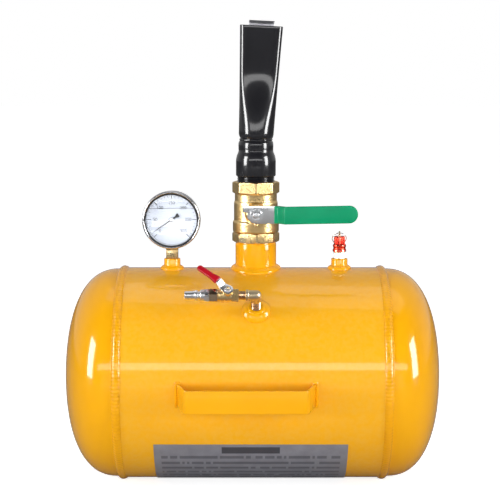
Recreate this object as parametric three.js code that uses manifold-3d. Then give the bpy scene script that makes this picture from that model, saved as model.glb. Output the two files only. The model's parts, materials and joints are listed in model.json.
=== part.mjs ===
// Bead seater blaster tank: a five gallon air tank with a quick-opening ball valve and a
// flattened nozzle, a dial gauge, a pull-ring relief valve and a small valved filling line.
// Millimetres, +Z up. The tank lies along X, the nozzle points up and the handle faces -Y.
// The origin is on the floor, under the middle of the whole object's box.

import * as THREE from "three";
import { mergeVertices } from "three/addons/utils/BufferGeometryUtils.js";
import Module from "manifold-3d";

const wasm = await Module();
wasm.setup();

const { degToRad, lerp, smoothstep } = THREE.MathUtils;

// ---------------------------------------------------------------- driving dimensions

const seatGap = 0.3; // left between pieces that touch on the real object
const runningGap = 0.35; // round a piece that turns or slides
const tankSides = 36; // flats round everything that meets the tank's curve

// tank
const tankRadius = 125;
const tankWall = 3;
const seamHalfSpan = 153; // from the middle to each head's seam
const headFlange = 5;
const headCrown = 62.3; // depth of the domed part
const headFullness = 2.4; // 2 is an ellipse, more is squarer at the knuckle
const headStep = 1.4; // the head is this much smaller in radius than the shell
const weldBandWidth = 10;
const weldBandHeight = 2.2;

// outlet neck and bosses on the tank
const neckOffset = 4; // the line of fittings, right of the tank's middle
const neckRadius = 24.15;
const neckWall = 3.55;
const neckHeight = 32; // tank top to valve
const neckThreadRadius = 23.4;
const bungSpacing = 99; // gauge and relief bosses from the neck
const bungRadius = 9.7;
const bungHeight = 12;
const bungBore = 6.5;
const bungReach = 5; // depth of a boss or the neck inside the tank
const bungToe = 4; // leg of the fillet weld round a boss
const neckToe = 5;

// handle
const handleWidth = 136.5; // across the front plate
const handleSplay = 10; // each leg's spread on its way to the tank
const handleReach = 165; // tank axis to the front plate
const handleStrap = 25.6;
const handleThickness = 3.2;
const handleBend = 4;
const handleOffset = -7; // its middle from the tank's

// label
const labelWidth = 220;
const labelOffset = -2;
const labelStart = 29; // degrees below the horizontal
const labelEnd = 84;
const labelThickness = 0.4;

// main valve
const valveHalf = 35.6;
const octagonProud = 2.1; // its corners outside the ball chamber
const topOctagonHeight = 13.8;
const capOctagonHeight = 11.5;
const octagonChamfer = 2.4; // off the corners
const valveNeckInset = 1;
const chamberWall = 5;
const collarProud = 1.4;
const collarHeight = 13.6;
const ballRadius = 20;
const portRadius = 15;
const chamberGap = 0.8; // ball to the chamber's wall
const seatDepth = 7.3;
const seatBack = 4.4; // port side of the seats, inside the ball's poles
const nozzleThreadRadius = 21.9;
const nozzleThreadDepth = 14.5;
const spigotProud = 1.4; // its radius over the ball chamber's bore

// main stem and lever: distances out from the valve's axis
const stemRadius = 5;
const stemCollarRadius = 6.5;
const stemCollarDepth = 2.3;
const stemBossRadius = 11.5;
const stemBossHeight = 7.2; // from the chamber's outside
const packingRadius = 8;
const packingDepth = 2.7;
const packingNutFlats = 19;
const packingNutHeight = 5.2;
const leverThickness = 2.5;
const leverHalfHeight = 10.2;
const leverLength = 117;
const leverEar = 15.5;
const leverRise = 10.7; // joggle towards the hand
const leverBendStart = 26;
const leverBendEnd = 34;
const sleeveStart = 21;
const sleeveWall = 1.6;
const driveSquare = 7; // where the stem drives the lever
const leverNutFlats = 13;
const leverNutHeight = 6.5;
const leverThreadRadius = 3.8;
const tongueWidth = 6;
const tongueDepth = 4;

// nozzle
const nozzleBaseRadius = 23.4;
const nozzleBaseHeight = 21.5; // straight part above the thread
const nozzleShoulder = 8;
const nozzleRingRadius = 20.4;
const nozzleRingHeight = 12.5;
const nozzleWall = 3;
const nozzleThreadShow = 6.4; // thread left showing above the valve
const barrelRadius = 20.3;
const barrelHeight = 132;
const barrelWall = 2.4;
const barrelLean = 2.8; // degrees, towards +X
const mouthHalfWidth = 25.1;
const mouthHalfThickness = 9.5;
const mouthDent = 2.2;
const pressEnd = 0.62; // share of the barrel's height where the flat part starts
const hookWidth = 29;
const hookThickness = 3;
const hookHeight = 24;
const hookShow = 6; // above the mouth
const hookLip = 9;

// gauge: distances in front of its stem's axis
const gaugeHeight = 46.9; // boss top to the dial's centre
const gaugeRadius = 32.8;
const gaugeWall = 1.2;
const gaugeBack = -10;
const gaugeFront = 15;
const bezelProud = 1.4;
const bezelDepth = 9.5;
const bezelLip = 1.5;
const bezelLap = 3; // over the case's edge
const lensThickness = 2.3;
const gasketThickness = 0.8;
const dialFace = 8.8;
const dialThickness = 0.8;
const needleMargin = 8.1; // case to the needle's tip
const needleTail = 9.5;
const needleAngle = 214.5; // degrees, anticlockwise from the right
const gaugeSquare = 14;
const gaugeSquareHeight = 11.7;
const gaugeThreadRadius = 6.2;
const pointerShaft = 0.9;
const pinionTeeth = 8;
const sectorTeeth = 48; // of the full circle
const gearModule = 0.5;
const gearBacklash = 0.34;
const sectorSweep = 43.25; // degrees for the needle's whole travel
const bourdonMargin = 8.8; // case to the tube's middle
const bourdonThickness = 2;
const plugRadius = 6;

// relief valve
const reliefFlats = 13.2;
const reliefHexHeight = 7;
const reliefThreadRadius = 6.2;
const bonnetRadius = 8.1;
const bonnetHeight = 9.1;
const bonnetTopRadius = 6.6;
const bonnetTopHeight = 9.6;
const spindleRadius = 1.4;
const springRadius = 3.2;
const springWire = 0.45;
const springTurns = 5;
const pullRingRadius = 8.4;
const pullRingWire = 0.6;
const pullRingTilt = 33; // degrees off the vertical where it hangs

// filling line: it stands off the tank at this angle above the horizontal
const fillAngle = 45;
const fillStandoff = 30; // tank surface to the line's axis
const fillBungRadius = 10;
const fillBungHeight = 8;
const fillBungToe = 6.5;
const fillBore = 5.2;
const elbowRadius = 5.8;
const elbowLeg = 11.8;
const nippleLength = 7.7;
const nippleRadius = 4.9;
const fillBodyLength = 23.8;
const fillBodyFlats = 13.6;
const fillChamberRadius = 7.6;
const fillCapLength = 8.9;
const fillCapFlats = 13.8;
const fillBallRadius = 5.2;
const fillPortRadius = 3;
const fillStemRadius = 2.2;
const fillBossHeight = 8.8; // line's axis to the top of the stem boss
const fillLeverLength = 44;
const fillLeverRise = 5;
const fillLeverAngle = 40; // degrees off the line, as the lever is left half open
const fillLeverThickness = 1.8;
const airPlugHexFlats = 13;
const airPlugBore = 3;

// ---------------------------------------------------------------- places worked out from them

const weldBandRadius = tankRadius + weldBandHeight;
const axisY = (handleReach - weldBandRadius) / 2; // puts the origin under the box's middle
const axisZ = weldBandRadius;
const headRadius = tankRadius - headStep;
const valveZ = tankRadius + neckHeight + valveHalf;
const bungTop = tankRadius + bungHeight;
const barrelFoot =
  valveZ + valveHalf + nozzleThreadShow + nozzleBaseHeight + nozzleShoulder + nozzleRingHeight;
const chamberBore = ballRadius + chamberGap;
const chamberRadius = chamberBore + chamberWall;
const octagonRadius = chamberRadius + octagonProud; // to the corners
const valveNeckRadius = chamberRadius - valveNeckInset;
const collarRadius = chamberRadius + collarProud;
const spigotRadius = chamberBore + spigotProud;
const stemBossEnd = chamberRadius + stemBossHeight;
const leverPlane = stemBossEnd + packingNutHeight + 1.1; // back of the lever's hub
const fillZ = tankRadius + fillStandoff;
const fillStemX = -(elbowLeg + nippleLength + fillBodyLength / 2);

// ---------------------------------------------------------------- materials

function finish(color, roughness, metalness) {
  return new THREE.MeshStandardMaterial({ color, roughness, metalness });
}

const yellowPaint = finish(0xfbb117, 0.18, 0);
const blackPaint = finish(0x101014, 0.15, 0);
const brass = finish(0xd9a441, 0.3, 1);
const darkBrass = finish(0x9a6a45, 0.35, 1);
const plated = finish(0xc8cacf, 0.22, 1);
const stainless = finish(0xb9bbc0, 0.2, 1);
const steel = finish(0x8f9297, 0.4, 1);
const greenVinyl = finish(0x089a6c, 0.35, 0);
const redVinyl = finish(0xc0142c, 0.3, 0);
const redAnodised = finish(0xe5402c, 0.3, 0.4);
const fluoropolymer = finish(0xf2f2ee, 0.5, 0);
const rubber = finish(0x17181a, 0.7, 0);
const glass = finish(0xdfe8ee, 0.05, 0);
const dialWhite = finish(0xe6e9ef, 0.5, 0);
const needleBlack = finish(0x0c0d10, 0.4, 0);
const foil = finish(0x8e8f98, 0.35, 0.2);

// ---------------------------------------------------------------- solid tools

// A closed, position-only copy whose shared corners are merged and whose faces point out.
function weld(geometry) {
  const loose = geometry.index ? geometry.toNonIndexed() : geometry;
  const bare = new THREE.BufferGeometry();
  bare.setAttribute("position", loose.getAttribute("position").clone());
  const merged = mergeVertices(bare, 1e-4);
  const place = merged.getAttribute("position");
  const corners = [];
  let volume = 0;
  const [a, b, c] = [new THREE.Vector3(), new THREE.Vector3(), new THREE.Vector3()];
  for (let i = 0; i < merged.index.count; i += 3) {
    const [p, q, r] = [0, 1, 2].map((k) => merged.index.getX(i + k));
    if (p === q || q === r || r === p) continue;
    a.fromBufferAttribute(place, p);
    b.fromBufferAttribute(place, q);
    c.fromBufferAttribute(place, r);
    volume += a.dot(b.cross(c));
    corners.push(p, q, r);
  }
  if (volume < 0) corners.reverse();
  return merged.setIndex(corners);
}

function solidOf(geometry) {
  const g = weld(geometry);
  return new wasm.Manifold(
    new wasm.Mesh({
      numProp: 3,
      vertProperties: new Float32Array(g.getAttribute("position").array),
      triVerts: new Uint32Array(g.index.array),
    }),
  );
}

function geometryOf(solid) {
  const { numProp, numVert, vertProperties, triVerts } = solid.getMesh();
  const points = new Float32Array(numVert * 3);
  for (let i = 0; i < numVert; i++) {
    points.set(vertProperties.subarray(i * numProp, i * numProp + 3), i * 3);
  }
  const geometry = new THREE.BufferGeometry();
  geometry.setAttribute("position", new THREE.BufferAttribute(points, 3));
  return geometry.setIndex(new THREE.BufferAttribute(triVerts, 1));
}

function cut(body, ...tools) {
  return geometryOf(tools.reduce((left, tool) => left.subtract(solidOf(tool)), solidOf(body)));
}

function join(...bodies) {
  return geometryOf(bodies.map(solidOf).reduce((sum, next) => sum.add(next)));
}

function common(one, other) {
  return geometryOf(solidOf(one).intersect(solidOf(other)));
}

// How many flats keep a round thing this large within a quarter of a millimetre.
function sidesFor(radius) {
  return 4 * Math.ceil(1.1 * Math.sqrt(radius));
}

// A body of revolution about +Z from [radius, height] points. It starts and ends on the axis,
// or else the outline closes on itself.
function turned(outline, sides = sidesFor(Math.max(...outline.map(([radius]) => radius)))) {
  const points = outline.map(([radius, height]) => new THREE.Vector2(radius, height));
  const onAxis = outline[0][0] === 0 && outline.at(-1)[0] === 0;
  if (!onAxis) points.push(points[0].clone());
  return weld(new THREE.LatheGeometry(points, sides).rotateX(Math.PI / 2));
}

function rod(radius, from, to, sides) {
  return turned([[0, from], [radius, from], [radius, to], [0, to]], sides);
}

function tube(inner, outer, from, to, sides) {
  return turned([[inner, from], [outer, from], [outer, to], [inner, to]], sides);
}

// A prism about +Z whose corners are cut back by a cone at either end.
function nutBlank(sides, cornerRadius, from, to, chamfer) {
  const slope = chamfer * 0.45;
  const envelope = turned(
    [
      [0, from],
      [cornerRadius - chamfer, from],
      [cornerRadius + 0.01, from + slope],
      [cornerRadius + 0.01, to - slope],
      [cornerRadius - chamfer, to],
      [0, to],
    ],
  );
  return common(rod(cornerRadius, from, to, sides), envelope);
}

function hexCorner(flats) {
  return flats / Math.sqrt(3);
}

function block(width, depth, height, x = 0, y = 0, z = 0) {
  return new THREE.BoxGeometry(width, depth, height).translate(x, y, z);
}

function extruded(shape, from, to, curveSegments = 12) {
  const made = new THREE.ExtrudeGeometry(shape, {
    depth: to - from,
    bevelEnabled: false,
    curveSegments,
  });
  return weld(made.translate(0, 0, from));
}

function outlineOf(points) {
  return new THREE.Shape(points.map(([x, y]) => new THREE.Vector2(x, y)));
}

// Turns +Z to face the front (-Y) and keeps X to the right and Y up.
function facing(geometry) {
  return geometry.rotateX(Math.PI / 2);
}

// Turns +Z to point to the left (-X).
function leftward(geometry) {
  return geometry.rotateY(-Math.PI / 2);
}

// Turns +Z to point to the right (+X).
function rightward(geometry) {
  return geometry.rotateY(Math.PI / 2);
}

// A closed ring skinned over a loop of sections with equal numbers of points.
function skinned(sections) {
  const count = sections[0].length;
  const positions = sections.flat().flatMap((p) => [p.x, p.y, p.z]);
  const corners = [];
  sections.forEach((_, i) => {
    const next = (i + 1) % sections.length;
    for (let j = 0; j < count; j++) {
      const k = (j + 1) % count;
      const [a, b, c, d] = [i * count + j, i * count + k, next * count + k, next * count + j];
      corners.push(a, b, c, a, c, d);
    }
  });
  const geometry = new THREE.BufferGeometry();
  geometry.setAttribute("position", new THREE.Float32BufferAttribute(positions, 3));
  return weld(geometry.setIndex(corners));
}

function piece(parent, name, geometry, material) {
  const mesh = new THREE.Mesh(weld(geometry), material);
  mesh.name = name;
  parent.add(mesh);
  return mesh;
}

// A fillet weld round a pipe that stands on the tank's top, following the saddle.
function saddleWeld(pipeRadius, leg) {
  const steps = sidesFor(pipeRadius);
  const inner = pipeRadius + seatGap;
  const surface = (radius, angle) =>
    Math.sqrt((tankRadius + seatGap) ** 2 - (radius * Math.sin(angle)) ** 2);
  const sections = [];
  for (let i = 0; i < steps; i++) {
    const angle = (i / steps) * Math.PI * 2;
    const corner = (radius, lift) =>
      new THREE.Vector3(
        radius * Math.cos(angle),
        radius * Math.sin(angle),
        surface(radius, angle) + lift,
      );
    sections.push([
      corner(inner, 0),
      corner(inner + leg, 0),
      corner(inner + leg, leg * 0.15),
      corner(inner + leg * 0.55, leg * 0.62),
      corner(inner + leg * 0.1, leg),
      corner(inner, leg),
    ]);
  }
  return skinned(sections);
}

// A gear tooth as four outline points about a centre, at an angle in degrees.
function toothPoints(pitchRadius, angle, widthScale) {
  const pitchHalf = (Math.PI * gearModule) / 4 / pitchRadius;
  const corners = [
    [pitchRadius - gearModule * 1.25, -1.35],
    [pitchRadius + gearModule * 0.8, -0.55],
    [pitchRadius + gearModule * 0.8, 0.55],
    [pitchRadius - gearModule * 1.25, 1.35],
  ];
  return corners.map(([radius, share]) => {
    const turn = degToRad(angle) + share * pitchHalf * widthScale;
    return [radius * Math.cos(turn), radius * Math.sin(turn)];
  });
}

// ---------------------------------------------------------------- tank

function tankShell() {
  const bore = tankRadius - tankWall;
  const shell = rightward(tube(bore, tankRadius, -seamHalfSpan, seamHalfSpan, tankSides));
  const deep = tankRadius - 3 * tankWall;
  const holeFor = (radius, x) => rod(radius + seatGap, deep, tankRadius * 1.1).translate(x, 0, 0);
  const fillHole = rod(fillBungRadius + seatGap, deep, tankRadius * 1.1);
  fillHole.rotateX(degToRad(90 - fillAngle)).translate(neckOffset, 0, 0);
  return cut(
    shell,
    holeFor(neckRadius, neckOffset),
    holeFor(bungRadius, neckOffset - bungSpacing),
    holeFor(bungRadius, neckOffset + bungSpacing),
    fillHole,
  );
}

// A dished head that opens towards the tank's middle, for the +X end.
function tankHead() {
  const from = seamHalfSpan + seatGap;
  const spring = seamHalfSpan + headFlange;
  const dome = (radius, crown, steps) => {
    const points = [];
    const power = 2 / headFullness;
    for (let i = 0; i < steps; i++) {
      const turn = (i / steps) * (Math.PI / 2);
      const [across, along] = [Math.cos(turn) ** power, Math.sin(turn) ** power];
      points.push([radius * across, spring + crown * along]);
    }
    return [...points, [0, spring + crown]];
  };
  const outside = dome(headRadius, headCrown, 8);
  const inside = dome(headRadius - tankWall, headCrown - tankWall, 6);
  const rim = [
    [headRadius, from],
    [headRadius - tankWall, from],
  ];
  return turned([...outside.reverse(), ...rim, ...inside], tankSides);
}

function weldBand() {
  const half = weldBandWidth / 2;
  const onShell = tankRadius + seatGap;
  const onHead = headRadius + seatGap;
  return turned(
    [
      [onShell, seamHalfSpan - half],
      [onShell, seamHalfSpan],
      [onHead, seamHalfSpan],
      [onHead, seamHalfSpan + half],
      [onHead + 0.6, seamHalfSpan + half],
      [weldBandRadius, seamHalfSpan + half * 0.4],
      [weldBandRadius, seamHalfSpan - half * 0.4],
    ],
    tankSides,
  );
}

function outletNeck() {
  const inside = tankRadius - bungReach;
  const shoulder = tankRadius + neckHeight - seatGap * 4;
  const top = valveZ - valveHalf + capOctagonHeight - 1.5 - seatGap;
  return turned([
    [neckRadius - neckWall, inside],
    [neckRadius, inside],
    [neckRadius, shoulder - 1.2],
    [neckThreadRadius, shoulder],
    [neckThreadRadius, top - 0.8],
    [neckThreadRadius - 0.8, top],
    [neckRadius - neckWall, top],
  ]);
}

// A threaded boss with its fillet weld, standing on the tank's top.
function bung() {
  const inside = tankRadius - bungReach;
  const boss = turned(
    [
      [bungBore, inside],
      [bungRadius, inside],
      [bungRadius, bungTop - 0.7],
      [bungRadius - 0.7, bungTop],
      [bungBore, bungTop],
    ],
  );
  return join(boss, saddleWeld(bungRadius - seatGap * 1.5, bungToe));
}

function fillBung() {
  const top = tankRadius + fillBungHeight;
  const boss = turned(
    [
      [fillBore, tankRadius - bungReach],
      [fillBungRadius, tankRadius - bungReach],
      [fillBungRadius, top - 0.8],
      [fillBungRadius - 0.8, top],
      [fillBore, top],
    ],
  );
  return join(boss, saddleWeld(fillBungRadius - seatGap * 1.5, fillBungToe));
}

// A flat strap bent to a wide U, its legs spreading to meet the tank.
function frontHandle() {
  const half = handleWidth / 2;
  const root = half + handleSplay;
  const front = -handleReach;
  const back = -tankRadius * 0.9;
  const lean = handleSplay / (handleReach - tankRadius);
  const t = handleThickness;
  const bend = handleBend;
  const inset = bend - t;
  const shape = new THREE.Shape();
  const far = root + lean * (back + tankRadius);
  shape.moveTo(-far, back);
  shape.lineTo(-half - lean * bend, front + bend);
  shape.quadraticCurveTo(-half, front, -half + bend, front);
  shape.lineTo(half - bend, front);
  shape.quadraticCurveTo(half, front, half + lean * bend, front + bend);
  shape.lineTo(far, back);
  shape.lineTo(far - t * 1.02, back);
  shape.lineTo(half + lean * bend - t * 1.02, front + bend);
  shape.quadraticCurveTo(half - t, front + t, half - t - inset, front + t);
  shape.lineTo(-half + t + inset, front + t);
  shape.quadraticCurveTo(-half + t, front + t, -half - lean * bend + t * 1.02, front + bend);
  shape.lineTo(-far + t * 1.02, back);
  const strap = extruded(shape, -handleStrap / 2, handleStrap / 2, 5);
  strap.translate(handleOffset, 0, 0);
  return cut(strap, rightward(rod(tankRadius + seatGap, -seamHalfSpan, seamHalfSpan, tankSides)));
}

// A thin foil label that follows the shell round its lower front.
function tankLabel() {
  const inner = tankRadius + seatGap;
  const outer = inner + labelThickness;
  const steps = 14;
  const arc = (radius, share) => {
    const turn = degToRad(lerp(labelStart, labelEnd, share));
    return [-radius * Math.cos(turn), -radius * Math.sin(turn)];
  };
  const points = [];
  for (let i = 0; i <= steps; i++) points.push(arc(outer, i / steps));
  for (let i = steps; i >= 0; i--) points.push(arc(inner, i / steps));
  const sheet = extruded(outlineOf(points), labelOffset - labelWidth / 2, labelOffset + labelWidth / 2);
  // the outline is drawn in (Y, Z) and extruded along X
  const axes = new THREE.Matrix4().makeBasis(
    new THREE.Vector3(0, 1, 0),
    new THREE.Vector3(0, 0, 1),
    new THREE.Vector3(1, 0, 0),
  );
  return sheet.applyMatrix4(axes);
}

function addTank(parent) {
  piece(parent, "tank_shell", tankShell(), yellowPaint);
  piece(parent, "tank_head_right", rightward(tankHead()), yellowPaint);
  piece(parent, "tank_head_left", leftward(tankHead()), yellowPaint);
  piece(parent, "weld_band_right", rightward(weldBand()), yellowPaint);
  piece(parent, "weld_band_left", leftward(weldBand()), yellowPaint);
  piece(parent, "front_handle", frontHandle(), yellowPaint);
  piece(parent, "tank_label", tankLabel(), foil);
}

// What is welded to the shell under the line of fittings, from that line.
function addBosses(parent) {
  piece(parent, "outlet_neck", outletNeck(), yellowPaint);
  piece(parent, "neck_weld", saddleWeld(neckRadius, neckToe), yellowPaint);
  piece(parent, "gauge_bung", bung().translate(-bungSpacing, 0, 0), yellowPaint);
  piece(parent, "relief_bung", bung().translate(bungSpacing, 0, 0), yellowPaint);
}

// ---------------------------------------------------------------- main valve, about its centre

const seatTop = ballRadius - seatBack; // where the chamber ends along the pipe
const seatRingTop = seatTop - seatGap;

function valveBody() {
  const top = valveHalf;
  const octagonFoot = top - topOctagonHeight;
  const bottom = -valveHalf + capOctagonHeight + seatGap;
  const collarTop = bottom + collarHeight;
  const neckFoot = octagonFoot - 8.6;
  const casting = turned([
    [0, bottom],
    [collarRadius - 1, bottom],
    [collarRadius, bottom + 1],
    [collarRadius, collarTop - 1.6],
    [chamberRadius, collarTop],
    [chamberRadius, neckFoot - 2.2],
    [valveNeckRadius, neckFoot],
    [valveNeckRadius, octagonFoot + 1],
    [0, octagonFoot + 1],
  ]);
  const octagon = nutBlank(8, octagonRadius, octagonFoot, top, octagonChamfer);
  const boss = facing(rod(stemBossRadius, chamberBore, stemBossEnd));
  // a cast nub under the boss stops the lever at either end of its quarter turn
  const nubTop = -leverHalfHeight - seatGap;
  const nubFoot = chamberRadius - 3;
  const nubEnd = leverPlane + leverThickness;
  const nub = block(4, nubEnd - nubFoot, 3.5, 0, -(nubEnd + nubFoot) / 2, nubTop - 1.75);
  const socket = nozzleThreadRadius + seatGap;
  const hollows = [
    rod(socket, top - nozzleThreadDepth - seatGap, top + 1),
    rod(portRadius, 0, top),
    rod(chamberBore, bottom + 1, seatTop),
    rod(spigotRadius + seatGap, bottom - 1, -seatTop + seatGap),
    facing(rod(stemRadius + runningGap, 0, stemBossEnd + 1)),
    facing(rod(stemCollarRadius + runningGap, 0, chamberBore + stemCollarDepth + seatGap)),
    facing(rod(packingRadius + seatGap, packingSeat(), stemBossEnd + 1)),
  ];
  return cut(join(casting, octagon, boss, nub), ...hollows);
}

function packingSeat() {
  return stemBossEnd - packingDepth - seatGap * 2 - 3;
}

function valveEndCap() {
  const bottom = -valveHalf;
  const shoulder = bottom + capOctagonHeight;
  const octagon = nutBlank(8, octagonRadius, bottom, shoulder, octagonChamfer);
  const spigot = rod(spigotRadius, shoulder - 1, -seatTop);
  const socketTop = shoulder - 1.5;
  return cut(
    join(octagon, spigot),
    rod(portRadius, bottom - 1, 0),
    rod(neckThreadRadius + seatGap, bottom - 1, socketTop),
  );
}

function valveBall() {
  const ball = new THREE.SphereGeometry(ballRadius, 20, 12);
  const bore = leftward(rod(portRadius, -ballRadius * 1.1, ballRadius * 1.1));
  const slotFloor = ballRadius - tongueDepth - seatGap;
  const slot = block(
    ballRadius * 2,
    tongueDepth + 4,
    tongueWidth + seatGap * 2,
    0,
    -slotFloor - (tongueDepth + 4) / 2,
    0,
  );
  return cut(ball, bore, slot);
}

function valveSeat() {
  const ring = tube(portRadius + 0.2, chamberBore - seatGap, seatRingTop - seatDepth, seatRingTop);
  return cut(ring, new THREE.SphereGeometry(ballRadius + runningGap, 24, 16));
}

function valveStem() {
  const tongueFoot = ballRadius - tongueDepth;
  const collarFoot = chamberBore;
  const collarTop = collarFoot + stemCollarDepth;
  const leverTop = leverPlane + leverThickness + seatGap;
  const end = leverTop + leverNutHeight + 2.2;
  const shaft = turned(
    [
      [0, collarFoot],
      [stemCollarRadius, collarFoot],
      [stemCollarRadius, collarTop],
      [stemRadius, collarTop],
      [stemRadius, leverPlane - seatGap],
      [leverThreadRadius - 0.4, leverPlane - seatGap],
      [leverThreadRadius - 0.4, leverTop],
      [leverThreadRadius, leverTop],
      [leverThreadRadius, end - 1],
      [leverThreadRadius - 1, end],
      [0, end],
    ],
  );
  const drive = block(driveSquare, driveSquare, leverTop - leverPlane + 1, 0, 0, 0);
  drive.translate(0, 0, (leverTop + leverPlane - 1) / 2);
  const tongueHeight = collarFoot + 0.5 - tongueFoot;
  const tongue = block(stemCollarRadius * 1.7, tongueWidth, tongueHeight);
  tongue.translate(0, 0, tongueFoot + tongueHeight / 2);
  return facing(join(shaft, drive, tongue));
}

function stemPacking() {
  const from = packingSeat() + seatGap;
  return facing(tube(stemRadius + runningGap, packingRadius, from, from + packingDepth));
}

function packingNut() {
  const plugFoot = packingSeat() + packingDepth + seatGap * 2;
  const face = stemBossEnd + seatGap;
  const hex = nutBlank(6, hexCorner(packingNutFlats), face, face + packingNutHeight, 1);
  // a flat of the hexagon faces the stop nub
  hex.rotateZ(Math.PI / 2);
  const plug = rod(packingRadius, plugFoot, face + 1);
  return facing(cut(join(hex, plug), rod(stemRadius + runningGap, plugFoot - 1, face + 20)));
}

// The lever's outline from the front: hub, stop ear and arm.
function leverOutline(halfHeight, start, end, tipRadius) {
  const shape = new THREE.Shape();
  const straight = end - tipRadius;
  shape.moveTo(Math.max(start, 0), -halfHeight);
  shape.lineTo(straight, -halfHeight);
  shape.quadraticCurveTo(end, -halfHeight, end, 0);
  shape.quadraticCurveTo(end, halfHeight, straight, halfHeight);
  if (start < 0) {
    shape.lineTo(-leverEar, halfHeight);
    shape.lineTo(-leverEar, halfHeight * 0.27);
    shape.lineTo(-halfHeight * 0.96, halfHeight * 0.27);
    shape.absarc(0, 0, halfHeight, Math.PI * 0.93, Math.PI * 1.5, false);
  } else {
    shape.lineTo(start, halfHeight);
  }
  return shape;
}

// The lever's section from above, as a band between its back and front.
function leverBand(start, end, backOffset, thickness) {
  const low = leverPlane - backOffset;
  const high = low + leverRise;
  return outlineOf([
    [start, low],
    [leverBendStart + backOffset * 0.6, low],
    [leverBendEnd + backOffset * 0.6, high],
    [end, high],
    [end, high + thickness],
    [leverBendEnd - (thickness - backOffset) * 0.6, high + thickness],
    [leverBendStart - (thickness - backOffset) * 0.6, low + thickness],
    [start, low + thickness],
  ]);
}

// Stands a band drawn in (X, distance to the front) up along Z.
function standing(band, halfHeight) {
  const swap = new THREE.Matrix4().makeScale(1, -1, 1);
  return extruded(band, -halfHeight, halfHeight).applyMatrix4(swap);
}

const plateEnd = leverLength - sleeveWall * 2;
const armHalfHeight = leverHalfHeight - sleeveWall - seatGap;

function leverPlate() {
  const band = standing(leverBand(-leverEar, plateEnd, 0, leverThickness), leverHalfHeight + 1);
  const reach = leverPlane + leverRise + 20;
  const hub = leverOutline(leverHalfHeight, -leverEar, sleeveStart + 1, 1);
  const arm = leverOutline(armHalfHeight, sleeveStart - 1, plateEnd, armHalfHeight);
  const outline = join(extruded(hub, 0, reach), extruded(arm, 0, reach));
  const square = driveSquare + runningGap * 2;
  return cut(
    common(weld(band), facing(outline)),
    facing(block(square, square, reach * 2, 0, 0, reach)),
  );
}

function leverSleeve() {
  const thickness = leverThickness + sleeveWall * 2;
  const skinBand = leverBand(sleeveStart, leverLength, sleeveWall, thickness);
  const skin = standing(skinBand, leverHalfHeight + 1);
  const reach = leverPlane + leverRise + 20;
  const outer = extruded(leverOutline(leverHalfHeight, sleeveStart, leverLength, 10), 0, reach);
  const room = leverThickness + seatGap * 2;
  const slotBand = leverBand(sleeveStart - 5, plateEnd + seatGap, seatGap, room);
  const slotOutline = leverOutline(
    armHalfHeight + seatGap,
    sleeveStart - 5,
    plateEnd + seatGap,
    armHalfHeight,
  );
  const slot = common(
    weld(standing(slotBand, leverHalfHeight)),
    facing(extruded(slotOutline, 0, reach)),
  );
  const hubEnd = leverOutline(leverHalfHeight + 1, sleeveStart - 5, sleeveStart + 1 + seatGap, 0.2);
  const hubSide = facing(extruded(hubEnd, 0, reach));
  const hubSlot = common(weld(standing(slotBand, leverHalfHeight + 2)), hubSide);
  return cut(common(weld(skin), facing(outer)), slot, hubSlot);
}

function leverNut() {
  const from = leverPlane + leverThickness + seatGap;
  const hex = nutBlank(6, hexCorner(leverNutFlats), from, from + leverNutHeight, 0.9);
  return facing(cut(hex, rod(leverThreadRadius + seatGap, from - 1, from + 20)));
}

function addMainValve(parent) {
  const valve = new THREE.Group();
  valve.position.z = valveZ;
  parent.add(valve);
  piece(valve, "valve_body", valveBody(), brass);
  piece(valve, "valve_end_cap", valveEndCap(), brass);
  piece(valve, "valve_ball", valveBall(), plated);
  piece(valve, "valve_seat_upper", valveSeat(), fluoropolymer);
  piece(valve, "valve_seat_lower", valveSeat().rotateX(Math.PI), fluoropolymer);
  piece(valve, "valve_stem", valveStem(), brass);
  piece(valve, "stem_packing", stemPacking(), fluoropolymer);
  piece(valve, "packing_nut", packingNut(), brass);
  piece(valve, "lever_plate", leverPlate(), plated);
  piece(valve, "lever_sleeve", leverSleeve(), greenVinyl);
  piece(valve, "lever_nut", leverNut(), plated);
}

// ---------------------------------------------------------------- nozzle

function nozzleBase() {
  const foot = valveZ + valveHalf - nozzleThreadDepth;
  const threadTop = valveZ + valveHalf + nozzleThreadShow;
  const wideTop = threadTop + nozzleBaseHeight;
  const ringFoot = wideTop + nozzleShoulder;
  const top = barrelFoot - seatGap;
  const bore = nozzleThreadRadius - nozzleWall;
  const ringBore = nozzleRingRadius - nozzleWall;
  return turned([
    [bore, foot],
    [nozzleThreadRadius - 0.8, foot],
    [nozzleThreadRadius, foot + 0.8],
    [nozzleThreadRadius, threadTop],
    [nozzleBaseRadius - 0.8, threadTop],
    [nozzleBaseRadius, threadTop + 0.8],
    [nozzleBaseRadius, wideTop],
    [lerp(nozzleBaseRadius, nozzleRingRadius, 0.25), wideTop + nozzleShoulder * 0.45],
    [nozzleRingRadius + 0.6, ringFoot],
    [nozzleRingRadius, ringFoot + nozzleRingHeight * 0.5],
    [nozzleRingRadius, top - 2.4],
    [nozzleRingRadius - 1.8, top],
    [ringBore, top],
    [ringBore, ringFoot],
    [bore, wideTop],
  ]);
}

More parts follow.
